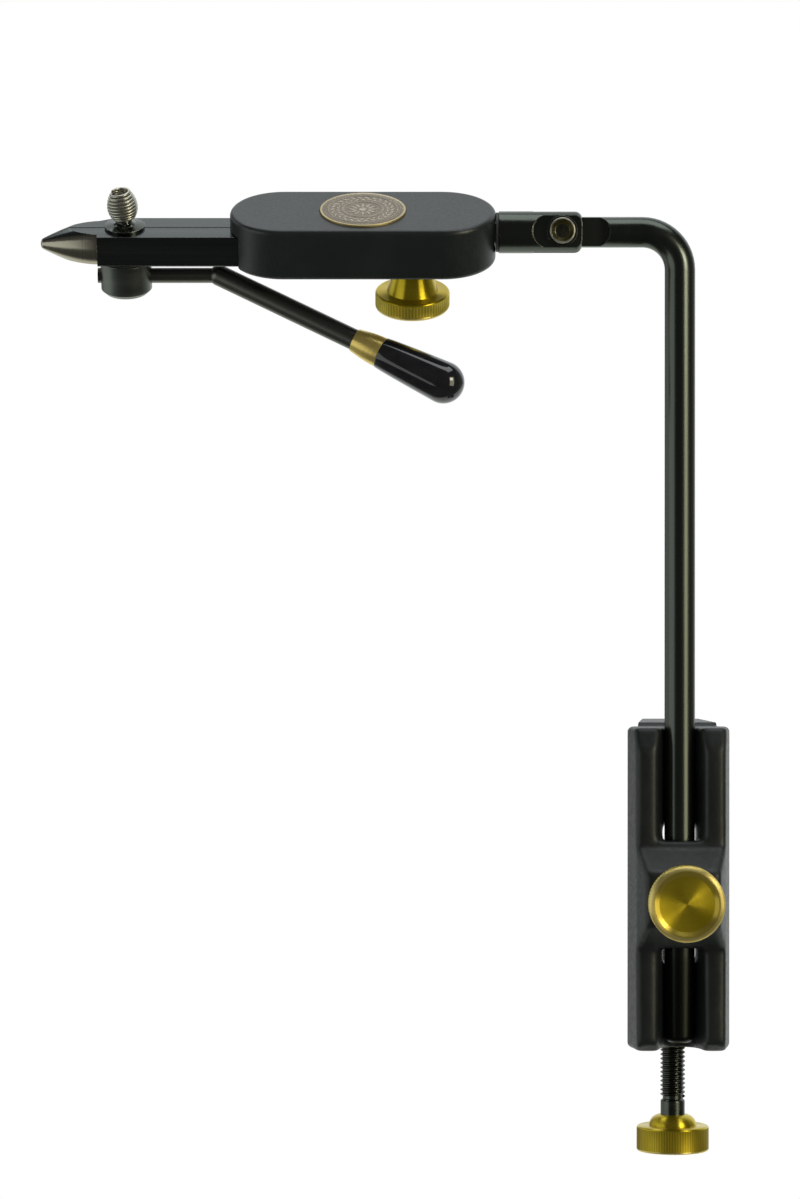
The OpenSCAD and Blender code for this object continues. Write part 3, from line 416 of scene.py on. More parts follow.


# brass off the lathe: fine rings and a dished face, with a paler rim and dish wall painted on as highlight
def turnedBrass(name, look, place):
    material, tree, shader = newMaterial(name, Metallic=look["metal"], Anisotropic=look["anisotropic"],
                                         Anisotropic_Rotation=acrossMarks)
    local = splitXYZ(tree, turnedCoords(tree, place))
    ring = ringDistance(tree, local)
    unrolled = addNode(tree, "ShaderNodeCombineXYZ")
    tree.links.new(ring, unrolled.inputs[0])
    tree.links.new(local[2], unrolled.inputs[2])
    lines = placeGroup(tree, drawnLines, Stretch=(2600, 1, 2600))
    tree.links.new(unrolled.outputs[0], lines.inputs["Vector"])
    grain = placeGroup(tree, coatGrain, Scale=500.0)
    tone = toneFrom(tree, look, grain.outputs["Broad"], midNoise)
    lathed = remap(tree, lines.outputs[0], 0.35, 0.7, 0.0, 0.35)
    tone = mixColour(tree, lathed, tone, look["deep"])
    inFront = mathNode(tree, "LESS_THAN", local[2], look["rimTop"] * mm)
    wall = mathNode(tree, "MULTIPLY", mathNode(tree, "GREATER_THAN", ring, look["faceRadius"] * mm), inFront)
    # the dish wall takes part of a paler tone as painted highlight
    tone = mixColour(tree, mathNode(tree, "MULTIPLY", wall, look["wallShare"]), tone, look["wall"])
    # the rim's paler tone is painted highlight
    rimFrom, rimTo = [(look["rimRadius"] + blend) * mm for blend in (-0.15, 0.1)]
    rim = mathNode(tree, "MULTIPLY", remap(tree, ring, rimFrom, rimTo), inFront)
    tree.links.new(mixColour(tree, rim, tone, look["rim"]), shader.inputs["Base Color"])
    face = mathNode(tree, "MULTIPLY", mathNode(tree, "LESS_THAN", ring, look["faceRadius"] * mm),
                    mathNode(tree, "LESS_THAN", local[2], look["faceTop"] * mm))
    rough = remap(tree, face, 0.0, 1.0, look["rough"], look["faceRough"])
    rough = mathNode(tree, "ADD", rough, remap(tree, lines.outputs[0], *mostNoise, -0.03, 0.04))
    rough = mathNode(tree, "MAXIMUM", rough, mathNode(tree, "MULTIPLY", rim, look["rimRough"]))
    tree.links.new(rough, shader.inputs["Roughness"])
    tangent = addNode(tree, "ShaderNodeTangent", {"direction_type": "RADIAL", "axis": look["axis"]})
    tree.links.new(tangent.outputs[0], shader.inputs["Tangent"])
    edge = placeGroup(tree, softEdge, Radius=0.25 * mm)
    bumpFrom(tree, shader, lines.outputs[0], look["bump"], 0.02, edge.outputs["Normal"])
    return material


# painted shade darkens the knurl's grooves; its crests keep the brass's own tone
def knurledBrass(name, look, place, radius, depth):
    material, tree, shader = newMaterial(name, Metallic=look["metal"])
    ring = ringDistance(tree, splitXYZ(tree, turnedCoords(tree, place)))
    grooveEnd, crestStart = (radius - 0.85 * depth) * mm, (radius - 0.2 * depth) * mm
    grain = placeGroup(tree, coatGrain, Scale=900.0)
    shade = toneFrom(tree, look, grain.outputs["Broad"])
    # painted shade in the grooves, fading out towards the crests
    crest = remap(tree, ring, grooveEnd, crestStart)
    tree.links.new(mixColour(tree, crest, look["groove"], shade), shader.inputs["Base Color"])
    roughFrom(tree, shader, grain.outputs["Fine"], look["rough"] - 0.04, look["rough"] + 0.05)
    bumpFrom(tree, shader, grain.outputs["Fine"], 0.1, 0.02)
    return material


# the jaws' turned point has a rubbed bronze tone, made lighter as painted highlight, and its upper side is
# darkened as painted shade
def rubbedPoint(name, look):
    material, tree, shader = newMaterial(name, Metallic=1.0, Anisotropic=0.75,
                                         Anisotropic_Rotation=acrossMarks)
    lines = placeGroup(tree, drawnLines, Stretch=(1100, 30, 30))
    tree.links.new(turnedCoords(tree, headPlace), lines.inputs["Vector"])
    shade = toneFrom(tree, look, lines.outputs[0])
    edge = placeGroup(tree, softEdge, Radius=look["edge"])
    wear = mathNode(tree, "MULTIPLY", edge.outputs["Edge"], look["wear"], clamp=True)
    rubbed = mixColour(tree, wear, shade, look["worn"])
    coords = addNode(tree, "ShaderNodeTexCoord")
    # faces turned up towards the head's top take a dark painted shade
    headUp = headPlace.to_3x3().col[2]
    upwards = vectorMath(tree, "DOT_PRODUCT", coords.outputs["Normal"], headUp, "Value")
    upper = remap(tree, upwards, look["blueFrom"], look["blueFrom"] + 0.1)
    tree.links.new(mixColour(tree, upper, rubbed, look["blued"]), shader.inputs["Base Color"])
    roughFrom(tree, shader, lines.outputs[0], look["rough"] - 0.02, look["rough"] + 0.03)
    tree.links.new(placeGroup(tree, turnedTangent).outputs[0], shader.inputs["Tangent"])
    bumpFrom(tree, shader, lines.outputs[0], look["bump"], 0.02, edge.outputs["Normal"])
    return material


def dippedVinyl(name, look):
    material, tree, shader = newMaterial(name, IOR=1.52, Coat_Weight=0.5, Coat_Roughness=0.04)
    grain = placeGroup(tree, coatGrain, Scale=160.0)
    roughFrom(tree, shader, grain.outputs["Broad"], *look["rough"])
    shade = toneFrom(tree, look, grain.outputs["Fine"], (0.4, 0.7))
    tree.links.new(shade, shader.inputs["Base Color"])
    bumpFrom(tree, shader, grain.outputs["Fine"], look["bump"], 0.08)
    return material


def mouldedNylon(name, look):
    material, tree, shader = newMaterial(name)
    grain = placeGroup(tree, coatGrain, Scale=900.0)
    shade = toneFrom(tree, look, grain.outputs["Broad"], (0.3, 0.75))
    tree.links.new(shade, shader.inputs["Base Color"])
    roughFrom(tree, shader, grain.outputs["Fine"], 0.45, 0.62)
    bumpFrom(tree, shader, grain.outputs["Fine"], 0.2, 0.03)
    return material


# old bronze: dark in the low places, rubbed bright on the relief and paler on the rim
def reliefBronze(name, look, place):
    material, tree, shader = newMaterial(name, Metallic=1.0)
    local = splitXYZ(tree, turnedCoords(tree, place))
    grain = placeGroup(tree, coatGrain, Scale=1500.0)
    height = remap(tree, local[2], look["low"] * mm, look["high"] * mm)
    patina = mathNode(tree, "ADD", mathNode(tree, "MULTIPLY", height, 0.8),
                      remap(tree, grain.outputs["Fine"], 0.4, 0.68, -0.15, 0.35), clamp=True)
    shade = mixColour(tree, patina, look["dark"], look["light"])
    rim = remap(tree, ringDistance(tree, local), look["rimFrom"] * mm, look["rimTo"] * mm)
    tree.links.new(mixColour(tree, rim, shade, look["rim"]), shader.inputs["Base Color"])
    tree.links.new(remap(tree, patina, 0.0, 1.0, 0.55, 0.36), shader.inputs["Roughness"])
    bumpFrom(tree, shader, grain.outputs["Fine"], 0.35, 0.05)
    return material


finishes = {
    "casting": {"dark": (0.0050, 0.0068, 0.0060), "light": (0.0085, 0.0105, 0.0095),
                "worn": (0.05, 0.05, 0.048), "wear": 0.3, "rough": 0.40, "grain": 700.0, "bump": 0.2,
                "edge": 0.7 * mm, "specular": 0.40},
    "housing": {"dark": (0.0050, 0.0080, 0.0070), "light": (0.0080, 0.0110, 0.0100),
                "worn": (0.05, 0.05, 0.05), "wear": 0.2, "rough": 0.35, "grain": 1100.0, "bump": 0.15,
                "edge": 0.5 * mm, "specular": 0.56},
    "blackOxide": {"dark": (0.068, 0.077, 0.066), "light": (0.102, 0.110, 0.094), "worn": (0.22, 0.22, 0.19),
                   "wear": 0.25, "rough": 0.24, "bump": 0.10, "edge": 0.3 * mm},
    "leverOxide": {"dark": (0.105, 0.107, 0.094), "light": (0.15, 0.15, 0.13), "worn": (0.25, 0.25, 0.22),
                   "wear": 0.25, "rough": 0.32, "bump": 0.10, "edge": 0.3 * mm},
    # the point's bronze tone is partly rubbed metal and partly painted highlight
    "point": {"dark": (0.37, 0.34, 0.265), "light": (0.42, 0.385, 0.305), "worn": (0.5, 0.48, 0.4),
              "wear": 0.3, "rough": 0.25, "bump": 0.004, "edge": 0.2 * mm,
              "blued": (0.085, 0.093, 0.090), "blueFrom": 0.62},
    "jaws": {"dark": (0.066, 0.074, 0.072), "light": (0.099, 0.108, 0.103), "worn": (0.25, 0.24, 0.20),
             "wear": 0.3, "rough": 0.25, "bump": 0.10, "edge": 0.25 * mm},
    "brightSteel": {"dark": (0.42, 0.42, 0.41), "light": (0.56, 0.56, 0.54), "worn": (0.7, 0.7, 0.68),
                    "wear": 0.3, "rough": 0.28, "bump": 0.1, "edge": 0.2 * mm},
    "springWire": {"dark": (0.44, 0.43, 0.36), "light": (0.58, 0.56, 0.48), "worn": (0.6, 0.58, 0.5),
                   "wear": 0.1, "rough": 0.34, "bump": 0.05, "edge": 0.1 * mm},
    "darkScrew": {"dark": (0.080, 0.078, 0.055), "light": (0.14, 0.135, 0.10), "worn": (0.35, 0.34, 0.30),
                  "wear": 0.5, "rough": 0.25, "bump": 0.1, "edge": 0.2 * mm},
    # the brass's rim and wall tones are painted highlight
    "brass": {"dark": (0.56, 0.415, 0.014), "light": (0.68, 0.52, 0.040), "deep": (0.46, 0.325, 0.010),
              "rim": (0.84, 0.67, 0.22), "wall": (0.66, 0.52, 0.17), "wallShare": 0.35, "rough": 0.32,
              "faceRough": 0.38, "faceRadius": 8.5, "faceTop": 1.1, "rimRadius": 10.15, "rimTop": 1.8,
              "rimRough": 0.42, "anisotropic": 0.88, "bump": 0.04, "metal": 0.92},
    "knurledBrass": {"dark": (0.66, 0.53, 0.06), "light": (0.78, 0.65, 0.12), "groove": (0.45, 0.34, 0.03),
                     "rough": 0.42, "metal": 0.85},
    "vinyl": {"dark": (0.005, 0.005, 0.006), "light": (0.010, 0.010, 0.011), "rough": (0.07, 0.14),
              "bump": 0.12},
    "blackNylon": {"dark": (0.012, 0.012, 0.012), "light": (0.022, 0.022, 0.022)},
    "paleNylon": {"dark": (0.70, 0.69, 0.64), "light": (0.76, 0.75, 0.70)},
    "bronze": {"dark": (0.22, 0.185, 0.145), "light": (0.42, 0.37, 0.295), "rim": (0.50, 0.41, 0.20),
               "low": 1.03, "high": 1.17, "rimFrom": 12.7, "rimTo": 12.9},
}


# a finish of the list above with a few of its values changed
def variedFinish(source, **changes):
    return dict(finishes[source], **changes)


# the rod's foot takes a painted shade colour and a rougher finish
rodLook = variedFinish("blackOxide", oiled=(0.022, 0.024, 0.020), oilFrom=(-0.045, -0.062), oilRough=0.12)
knuckleLook = variedFinish("blackOxide", worn=(0.42, 0.42, 0.38), wear=0.5, edge=0.4 * mm)
camLook = variedFinish("blackOxide", dark=(0.125, 0.137, 0.120), light=(0.18, 0.19, 0.17), rough=0.33)
collarLook = variedFinish("blackOxide", rough=0.17, worn=(0.42, 0.42, 0.38), wear=0.6, edge=0.25 * mm)
# a lighter olive steel for the socket's wall, as painted light in the recess
socketLook = variedFinish("darkScrew", dark=(0.26, 0.23, 0.10), light=(0.36, 0.32, 0.15), rough=0.3)
ferruleLook = variedFinish("brass", light=(0.78, 0.60, 0.19), dark=(0.70, 0.53, 0.15), axis="X",
                           deep=(0.62, 0.46, 0.11), rimRadius=90, rough=0.30, anisotropic=0.3,
                           bump=0.03, metal=0.85)

# how far each finish's grain is stretched along X, Y and Z
alongX, slimX, ringsZ = (3, 60, 60), (4, 300, 300), (60, 60, 300)
evenFine, evenSpring, evenScrew = (300, 300, 300), (700, 700, 700), (200, 200, 200)

castingFinish = powderCoat("castingCoat", finishes["casting"])
housingFinish = powderCoat("housingCoat", finishes["housing"])
stemFinish = oiledRod("stemOxide", rodLook)
knuckleFinish = darkSteel("knuckleOxide", knuckleLook, stretch=alongX)
leverFinish = darkSteel("leverOxide", finishes["leverOxide"], leverPlace, alongX)
cradleFinish = darkSteel("camOxide", camLook, headPlace, ringsZ)
collarFinish = darkSteel("collarOxide", collarLook, headPlace, ringsZ)
clampScrewFinish = darkSteel("screwOxide", finishes["blackOxide"], stretch=evenScrew)
brightFinish = darkSteel("turnedSteel", finishes["brightSteel"], stretch=evenFine)
springFinish = darkSteel("springWire", finishes["springWire"], stretch=evenSpring)
screwFinish = darkSteel("screwSteel", finishes["darkScrew"], stretch=evenFine)
socketFinish = darkSteel("socketSteel", socketLook, stretch=evenFine)
jawFinish = darkSteel("jawSteel", finishes["jaws"], headPlace, slimX)
pointFinish = rubbedPoint("pointBronze", finishes["point"])
vinylFinish = dippedVinyl("dippedVinyl", finishes["vinyl"])
washerFinish = mouldedNylon("washerNylon", finishes["blackNylon"])
plugFinish = mouldedNylon("plugNylon", finishes["paleNylon"])
ferrulePlace = leverPlace @ turn(90, "Y")
ferruleFinish = turnedBrass("ferruleBrass", ferruleLook, ferrulePlace)
print("stage: finishes made")

# knobs: turned brass with a straight knurl
thumbKnobLook = {
    "radius": 11.65, "disc": 5.8, "lip": 0.7, "rimPeak": 10.1, "rimDrop": 1.3,
    "rimRise": ((0.5, 0.12), (0.2, 0.03)), "dish": 8.55, "dishDepth": 0.95, "dishEdge": (0.25, 0.08),
    "faceDepth": 0.45, "faceBend": 4,
    "hub": 9.9, "hubRoot": 8.0, "hubEnd": 5.9, "hubCurve": 1.5, "fillet": (0.35, 0.2), "hubEdge": 0.3,
    "bore": 3.1, "boreDepth": 0.6, "teeth": 72, "knurl": 0.24, "arcSteps": 8, "lipSteps": 5,
}
clampKnobLook = {
    "foot": -125.4, "radius": 11.5, "thick": 8.0, "lip": 0.7, "hub": 3.6, "hubRadius": 7.55, "fillet": 0.3,
    "bore": 3.875, "boreDepth": 1, "recess": 0.35, "recessRadius": 8.6, "recessMouth": 9.0,
    "teeth": 84, "knurl": 0.16, "arcSteps": 12, "lipSteps": 5,
}
dullKnurl = variedFinish("knurledBrass", dark=(0.42, 0.31, 0.014), light=(0.51, 0.39, 0.030),
                         groove=(0.30, 0.215, 0.010))
tensionKnobPlace = headPlace @ Matrix.Translation((-0.0832, 0, -0.02555))
lockKnobPlace = Matrix.Translation((0, cadBox[0][1], -0.0415)) @ turn(-90, "X")
clampKnobPlace = Matrix.Translation((0, 0, clampKnobLook["foot"] * mm))
toothSlack, bandSlack = 0.05, 0.01


# every second edge of the band between low and high goes in, and the band takes the knurl's finish
def knurl(piece, look, low, high):
    radius, depth = look["radius"], look["knurl"]
    low, high = low - bandSlack, high + bandSlack

    def inGroove(co):
        onBand = math.hypot(co.x, co.y) / mm > radius - toothSlack and low <= co.z / mm <= high
        return onBand and round(math.atan2(co.y, co.x) / math.pi * look["teeth"]) % 2 == 0

    def slotOf(middle, normal):
        return 1 if math.hypot(middle.x, middle.y) > radius - depth and low < middle.z < high else 0

    chooseVerts(piece, inGroove)
    share = (radius - depth) / radius
    bpy.ops.transform.resize(value=(share, share, 1), center_override=(0, 0, 0))
    shareFaces(piece, 2, slotOf)


def dressKnob(piece, look, place, axis, knurlLook, body, node):
    brass = turnedBrass(piece.name + "Brass", variedFinish("brass", axis=axis), place)
    band = knurledBrass(piece.name + "Knurl", knurlLook, place, look["radius"], look["knurl"])
    dress(piece, (brass, band), body, node)


def makeThumbKnob(name, place, axis, body, node):
    look = thumbKnobLook
    radius, thick, lip, peak = look["radius"], look["disc"], look["lip"], look["rimPeak"]
    edgeIn, edgeUp = look["dishEdge"]
    profile = [(0, look["faceDepth"]), (look["faceBend"], (look["faceDepth"] + look["dishDepth"]) / 2)]
    profile += [(look["dish"] - edgeIn, look["dishDepth"]), (look["dish"], look["dishDepth"] - edgeUp)]
    profile += [(peak - inwards, depth) for inwards, depth in look["rimRise"]]
    for i in range(look["arcSteps"] + 1):
        a = math.radians(90 * i / look["arcSteps"])
        profile.append((peak + (radius - peak) * math.sin(a), look["rimDrop"] * (1 - math.cos(a))))
    profile += arcPoints(radius - lip, thick - lip, lip, 0, 90, look["lipSteps"])
    # the hub narrows away from the disc
    root, end, top = look["hubRoot"], look["hubEnd"], thick + look["hub"]
    filletOut, filletUp = look["fillet"]
    profile += [(root + filletOut, thick), (root, thick + filletUp)]
    for i in range(1, look["arcSteps"] + 1):
        u = i / look["arcSteps"]
        narrowed = (root - end) * (1 - (1 - u) ** look["hubCurve"])
        profile.append((root - narrowed, thick + filletUp + (top - look["hubEdge"] - thick - filletUp) * u))
    bore, boreFloor = look["bore"], top - look["boreDepth"]
    profile += [(end - look["hubEdge"], top), (bore, top), (bore, boreFloor), (0, boreFloor)]
    piece = turnedPiece(name, profile, 2 * look["teeth"])
    knurl(piece, look, look["rimDrop"], thick - lip)
    finishMesh(piece, place)
    dressKnob(piece, look, place, axis, finishes["knurledBrass"], body, node)


def makeClampKnob():
    look = clampKnobLook
    radius, thick, lip, bore = look["radius"], look["thick"], look["lip"], look["bore"]
    profile = [(0, look["recess"]), (look["recessRadius"], look["recess"]), (look["recessMouth"], 0)]
    profile += arcPoints(radius - lip, lip, lip, -90, 0, look["lipSteps"])
    profile += arcPoints(radius - lip, thick - lip, lip, 0, 90, look["lipSteps"])
    profile += [(look["hubRadius"] + look["fillet"], thick)]
    for i in range(look["arcSteps"] + 1):
        a = math.radians(90 * i / look["arcSteps"])
        profile.append((bore + (look["hubRadius"] - bore) * math.cos(a), thick + look["hub"] * math.sin(a)))
    boreFloor = thick - look["boreDepth"]
    profile += [(bore, boreFloor), (0, boreFloor)]
    piece = turnedPiece("clampKnobTurned", profile, 2 * look["teeth"])
    knurl(piece, look, lip, thick - lip)
    finishMesh(piece, clampKnobPlace)
    dressKnob(piece, look, clampKnobPlace, "Z", dullKnurl, "clamp_screw", "clamp_knob")


makeThumbKnob("tensionKnobTurned", tensionKnobPlace, "Z", "tension", "tension_knob")
makeThumbKnob("lockKnobTurned", lockKnobPlace, "Y", "stem_lock", "stem_lock_knob")
makeClampKnob()
print("stage: knobs made")

# clamp screw: rolled thread, plain collar and turned neck
screwLook = {
    "crest": 3.97, "root": 3.28, "pitch": 1.411, "rootFlat": 0.18, "flank": 0.52, "crestFlat": 0.19,
    "threadLow": -108.9, "threadHigh": -38.05, "threadSteps": 28,
    "core": 3.18, "coreLow": -108.8, "coreHigh": -38.2,
    "foot": -125, "collar": 3.875, "collarTop": -109.1, "collarEdge": (0.275, 0.4),
    "neck": 2.5, "neckLow": -38.1, "top": -29.7, "neckEdge": 0.2, "coreSteps": 64,
}


def makeThread(look):
    deselectAll()
    bpy.ops.mesh.primitive_plane_add(size=mm, location=(0, 0, 0))
    thread = bpy.context.object
    depth = look["crest"] - look["root"]
    lastFlank = look["pitch"] - look["rootFlat"] - look["flank"] - look["crestFlat"]
    steps = [(0, look["rootFlat"]), (depth, look["flank"]), (0, look["crestFlat"]), (-depth, lastFlank)]
    drawChain(thread, (look["root"], look["threadLow"]), steps)
    pick(thread)
    wind = thread.modifiers.new("wind", "SCREW")
    wind.axis = "Z"
    wind.angle = 2 * math.pi
    wind.screw_offset = look["pitch"] * mm
    wind.iterations = int((look["threadHigh"] - look["threadLow"]) / look["pitch"])
    wind.steps = wind.render_steps = look["threadSteps"]
    wind.use_merge_vertices = True
    bpy.ops.object.modifier_apply(modifier="wind")
    return thread


def makeClampScrew():
    look = screwLook
    edgeIn, edgeUp = look["collarEdge"]
    collar, core, neck, ease = look["collar"], look["core"], look["neck"], look["neckEdge"]
    thread = makeThread(look)
    stem = turnedPiece("screwCore", [
        (0, look["foot"]), (collar - edgeIn, look["foot"]), (collar, look["foot"] + edgeUp),
        (collar, look["collarTop"] - edgeUp), (collar - edgeIn, look["collarTop"]),
        (core, look["coreLow"]), (core, look["coreHigh"]), (neck, look["neckLow"]),
        (neck, look["top"] - ease), (neck - ease, look["top"]), (0, look["top"])], look["coreSteps"])
    piece = joinPieces("clampScrewThread", [thread, stem])
    editPiece(piece)
    mergeDoubles()
    faceOutwards()
    finishMesh(piece, Matrix())
    dress(piece, (clampScrewFinish,), "clamp_screw", "clamp_screw")


makeClampScrew()
print("stage: clamp screw made")

# springs: round wire on a curve, made a mesh
materialSpringLook = {"at": (-0.1727, 0, 0.00447), "lean": -6.5, "curls": 9.5, "height": 9.38, "wire": 0.94,
                      "endRadius": 2.3, "waistRadius": 4.35, "skew": 0.85, "power": 0.8}
jawSpringLook = {"middle": (-0.1029, 0, -0.00295), "curls": 7, "height": 9.56, "wire": 0.6, "pressed": 0.855,
                 "endRadius": 2.0, "waistRadius": 2.0, "skew": 1, "power": 1}
pointsPerCurl = 40


def springPiece(name, look, place):
    points = []
    count = int(look["curls"] * pointsPerCurl)
    for i in range(count + 1):
        t = i / count
        bulge = math.sin(math.pi * t ** look["skew"]) ** look["power"] if 0 < t < 1 else 0
        r = look["endRadius"] + (look["waistRadius"] - look["endRadius"]) * bulge
        a = 2 * math.pi * look["curls"] * t
        points.append((r * math.cos(a) * mm, r * math.sin(a) * mm, look["height"] * t * mm))
    deselectAll()
    bpy.ops.curve.primitive_nurbs_path_add(location=(0, 0, 0))
    wire = bpy.context.object
    wire.name = name
    curve = wire.data
    curve.splines.clear()
    spline = curve.splines.new("POLY")
    spline.points.add(len(points) - 1)
    for splinePoint, point in zip(spline.points, points):
        splinePoint.co = (*point, 1)
    curve.bevel_depth = look["wire"] / 2 * mm
    curve.bevel_resolution = 3
    curve.use_fill_caps = True
    pick(wire)
    bpy.ops.object.convert(target="MESH")
    return finishMesh(bpy.context.object, place, smoothAngle=50)


def makeMaterialSpring():
    look = materialSpringLook
    lean = turn(look["lean"], "Y")
    piece = springPiece("materialSpringWire", look, headPlace @ Matrix.Translation(look["at"]) @ lean)
    dress(piece, (springFinish,), "lever", "material_spring")


# it lies across the head, and the jaws' tails press it when they open
def makeJawSpring():
    look = jawSpringLook
    middle = Vector(look["middle"])
    start = middle + Vector((0, look["height"] / 2 * mm, 0))
    place = headPlace @ Matrix.Translation(start) @ turn(90, "X")
    piece = springPiece("jawSpringWire", look, place)
    dress(piece, (springFinish,), "head", "jaw_spring")
    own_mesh(piece)


makeMaterialSpring()
makeJawSpring()
print("stage: springs made")

# medallion: rim, rope ring, a wreath of leaves and a rosette
medalLook = {
    "seat": (-0.0986, 0, 0.00665), "radius": 13.35, "field": 1.05, "thick": 1.2, "ease": 0.2,
    "easeSteps": 3, "footEase": 0.15, "rimInner": (0.62, 0.85),
    "rings": (10.75, 6.35, 6.0), "ringFoot": 0.22, "ringTop": 0.1, "ringHigh": 0.11,
    "hubFoot": 1.3, "hub": ((1.15, 0.14), (0.6, 0.2), (0, 0.22)), "hubGround": 4.9, "discSteps": 160,
    "relief": [
        {"size": (0.34, 0.24, 0.13), "count": 84, "ring": 11.75, "lean": 50, "segments": 8, "bands": 4},
        {"size": (1.25, 0.5, 0.15), "count": 26, "ring": 9.45, "lean": 52, "segments": 10, "bands": 6},
        {"size": (1.1, 0.42, 0.13), "count": 26, "ring": 7.75, "lean": 118, "segments": 10, "bands": 6,
         "offset": 0.5},
        {"size": (1.6, 0.5, 0.16), "count": 12, "ring": 3.3, "lean": 0, "segments": 12, "bands": 6},
    ],
    "pointFrom": 0.45, "pointShape": (1.15, 0.55, 0.8),
}


# one bead, leaf or petal, its far end drawn to a point
def reliefLeaf(kind):
    deselectAll()
    bpy.ops.mesh.primitive_uv_sphere_add(segments=kind["segments"], ring_count=kind["bands"], radius=mm,
                                         location=(0, 0, 0))
    leaf = bpy.context.object
    editPiece(leaf)
    bpy.ops.mesh.select_all(action="SELECT")
    bpy.ops.transform.resize(value=kind["size"])
    chooseVerts(leaf, lambda co: co.x > kind["size"][0] * medalLook["pointFrom"] * mm)
    bpy.ops.transform.resize(value=medalLook["pointShape"])
    bpy.ops.object.mode_set(mode="OBJECT")
    return leaf


def ringOfLeaves(kind, height):
    source = reliefLeaf(kind)
    copies = []
    for i in range(kind["count"]):
        a = 2 * math.pi * (i + kind.get("offset", 0)) / kind["count"]
        leaf = source.copy()
        leaf.data = source.data.copy()
        bpy.context.collection.objects.link(leaf)
        leaf.location = (kind["ring"] * math.cos(a) * mm, kind["ring"] * math.sin(a) * mm, height * mm)
        leaf.rotation_euler = (0, 0, a + math.radians(kind["lean"]))
        copies.append(leaf)
    bpy.data.objects.remove(source)
    return copies


def makeMedallion():
    look = medalLook
    radius, field, thick, ease = look["radius"], look["field"], look["thick"], look["ease"]
    profile = [(0, 0), (radius - look["footEase"], 0), (radius, look["footEase"]), (radius, thick - ease)]
    profile += arcPoints(radius - ease, thick - ease, ease, 0, 90, look["easeSteps"])
    profile += [(radius - look["rimInner"][0], thick), (radius - look["rimInner"][1], field)]
    for ring in look["rings"]:
        profile += [(ring + look["ringFoot"], field), (ring + look["ringTop"], field + look["ringHigh"])]
        profile += [(ring - look["ringTop"], field + look["ringHigh"]), (ring - look["ringFoot"], field)]
    profile += [(look["hubGround"], field), (look["hubFoot"], field)]
    profile += [(out, field + up) for out, up in look["hub"]]
    parts = [turnedPiece("medalDisc", profile, look["discSteps"])]
    for kind in look["relief"]:
        parts += ringOfLeaves(kind, field)
    piece = joinPieces("medallionRelief", parts)
    editPiece(piece)
    faceOutwards()
    place = headPlace @ Matrix.Translation(look["seat"])
    finishMesh(piece, place, smoothAngle=40)
    bronze = reliefBronze("reliefBronze", finishes["bronze"], place)
    dress(piece, (bronze,), "head", "medallion")


makeMedallion()
print("stage: medallion made")

# clamp casting: the CAD form recast with soft edges, and room left round what runs in it
castingLook = {
    "voxel": 0.55, "ease": 5, "soften": 28, "softenFrom": -24.6, "softenReach": 6,
    "stemRoom": 4.92, "screwRoom": 4.15, "screwTop": -20,
    "windowTop": -17.6, "windowHalf": 5.5, "windowDrop": 1.9, "windowFoot": -62.5,
    "slitHalf": 5.35, "slitReach": 6.2, "bossFoot": -57.5, "ribFace": -38.5, "ribProud": 1.2, "slack": 0.05,
}


def pushClear(v, axisY, room):
    away = Vector((v.co.x, v.co.y - axisY, 0))
    if 0 < away.length < room:
        away *= room / away.length
        v.co.x, v.co.y = away.x, away.y + axisY


def softenCasting(piece, look):
    pick(piece)
    cast = piece.modifiers.new("cast", "REMESH")
    cast.mode = "VOXEL"
    cast.voxel_size = look["voxel"] * mm
    bpy.ops.object.modifier_apply(modifier="cast")
    front = piece.vertex_groups.new(name="front")
    for v in piece.data.vertices:
        forward = (look["softenFrom"] - v.co.y / mm) / look["softenReach"]
        front.add([v.index], min(max(forward, 0), 1), "REPLACE")
    for name, count, group in (("ease", look["ease"], ""), ("soften", look["soften"], "front")):
        smooth = piece.modifiers.new(name, "SMOOTH")
        smooth.iterations = count
        smooth.vertex_group = group
        bpy.ops.object.modifier_apply(modifier=name)
    piece.vertex_groups.clear()


def makeCasting():
    look = castingLook
    piece = copyNode("clamp_body", "clampCasting")
    editPiece(piece)
    mergeDoubles()
    # the window starts lower, and the lower ribs stand a little prouder
    chooseVerts(piece, lambda co: abs(co.z / mm - look["windowTop"]) < look["slack"]
                and abs(co.x) / mm < look["windowHalf"])
    bpy.ops.transform.translate(value=(0, 0, -look["windowDrop"] * mm))
    chooseVerts(piece, lambda co: co.z / mm < look["bossFoot"] and co.y / mm < look["ribFace"])
    bpy.ops.transform.translate(value=(0, -look["ribProud"] * mm, 0))
    softenCasting(piece, look)
    for v in piece.data.vertices:
        pushClear(v, stemAxisY, look["stemRoom"] * mm)
        if v.co.z / mm < look["screwTop"]:
            pushClear(v, 0, look["screwRoom"] * mm)
        # the smoothing opened the slits beside the stem, so their walls come back in
        behind = v.co.y > stemAxisY and look["windowFoot"] < v.co.z / mm < look["windowTop"]
        if behind and look["slitHalf"] < abs(v.co.x) / mm < look["slitReach"]:
            v.co.x = math.copysign(look["slitHalf"] * mm, v.co.x)
    finishMesh(piece, Matrix(), smoothAngle=60)
    dress(piece, (castingFinish,), "clamp", "clamp_body")
    print("casting faces:", len(piece.data.polygons))


makeCasting()
print("stage: casting made")

# jaws: the CAD bars with the nose rounded off and the far shoulder run out into the point
jawLook = {"tip": -199, "root": -181, "drop": 3.8, "top": 1.55, "slack": 0.05, "topSlack": 0.02,
           "nose": 1.6, "noseEnd": 0.3, "noseRadius": 2.12, "flatShare": 0.1,
           "shoulder": 5.0, "shoulderDeep": 0.6, "shoulderOut": 6.5}


def roundNose(piece, look):
    drop = look["drop"] * mm
    mesh = bmesh.from_edit_mesh(piece.data)
    for v in mesh.verts:
        deep = (v.co.x / mm - look["tip"]) / look["nose"]
        if deep >= 1:
            continue
        dome = look["noseRadius"] * math.sqrt(1 - (1 - max(deep, 0)) ** 2)
        limit = max(look["noseEnd"], dome) * mm
        r = math.hypot(v.co.y, v.co.z + drop)
        if r > limit:
            v.co.y *= limit / r
            v.co.z = (v.co.z + drop) * limit / r - drop


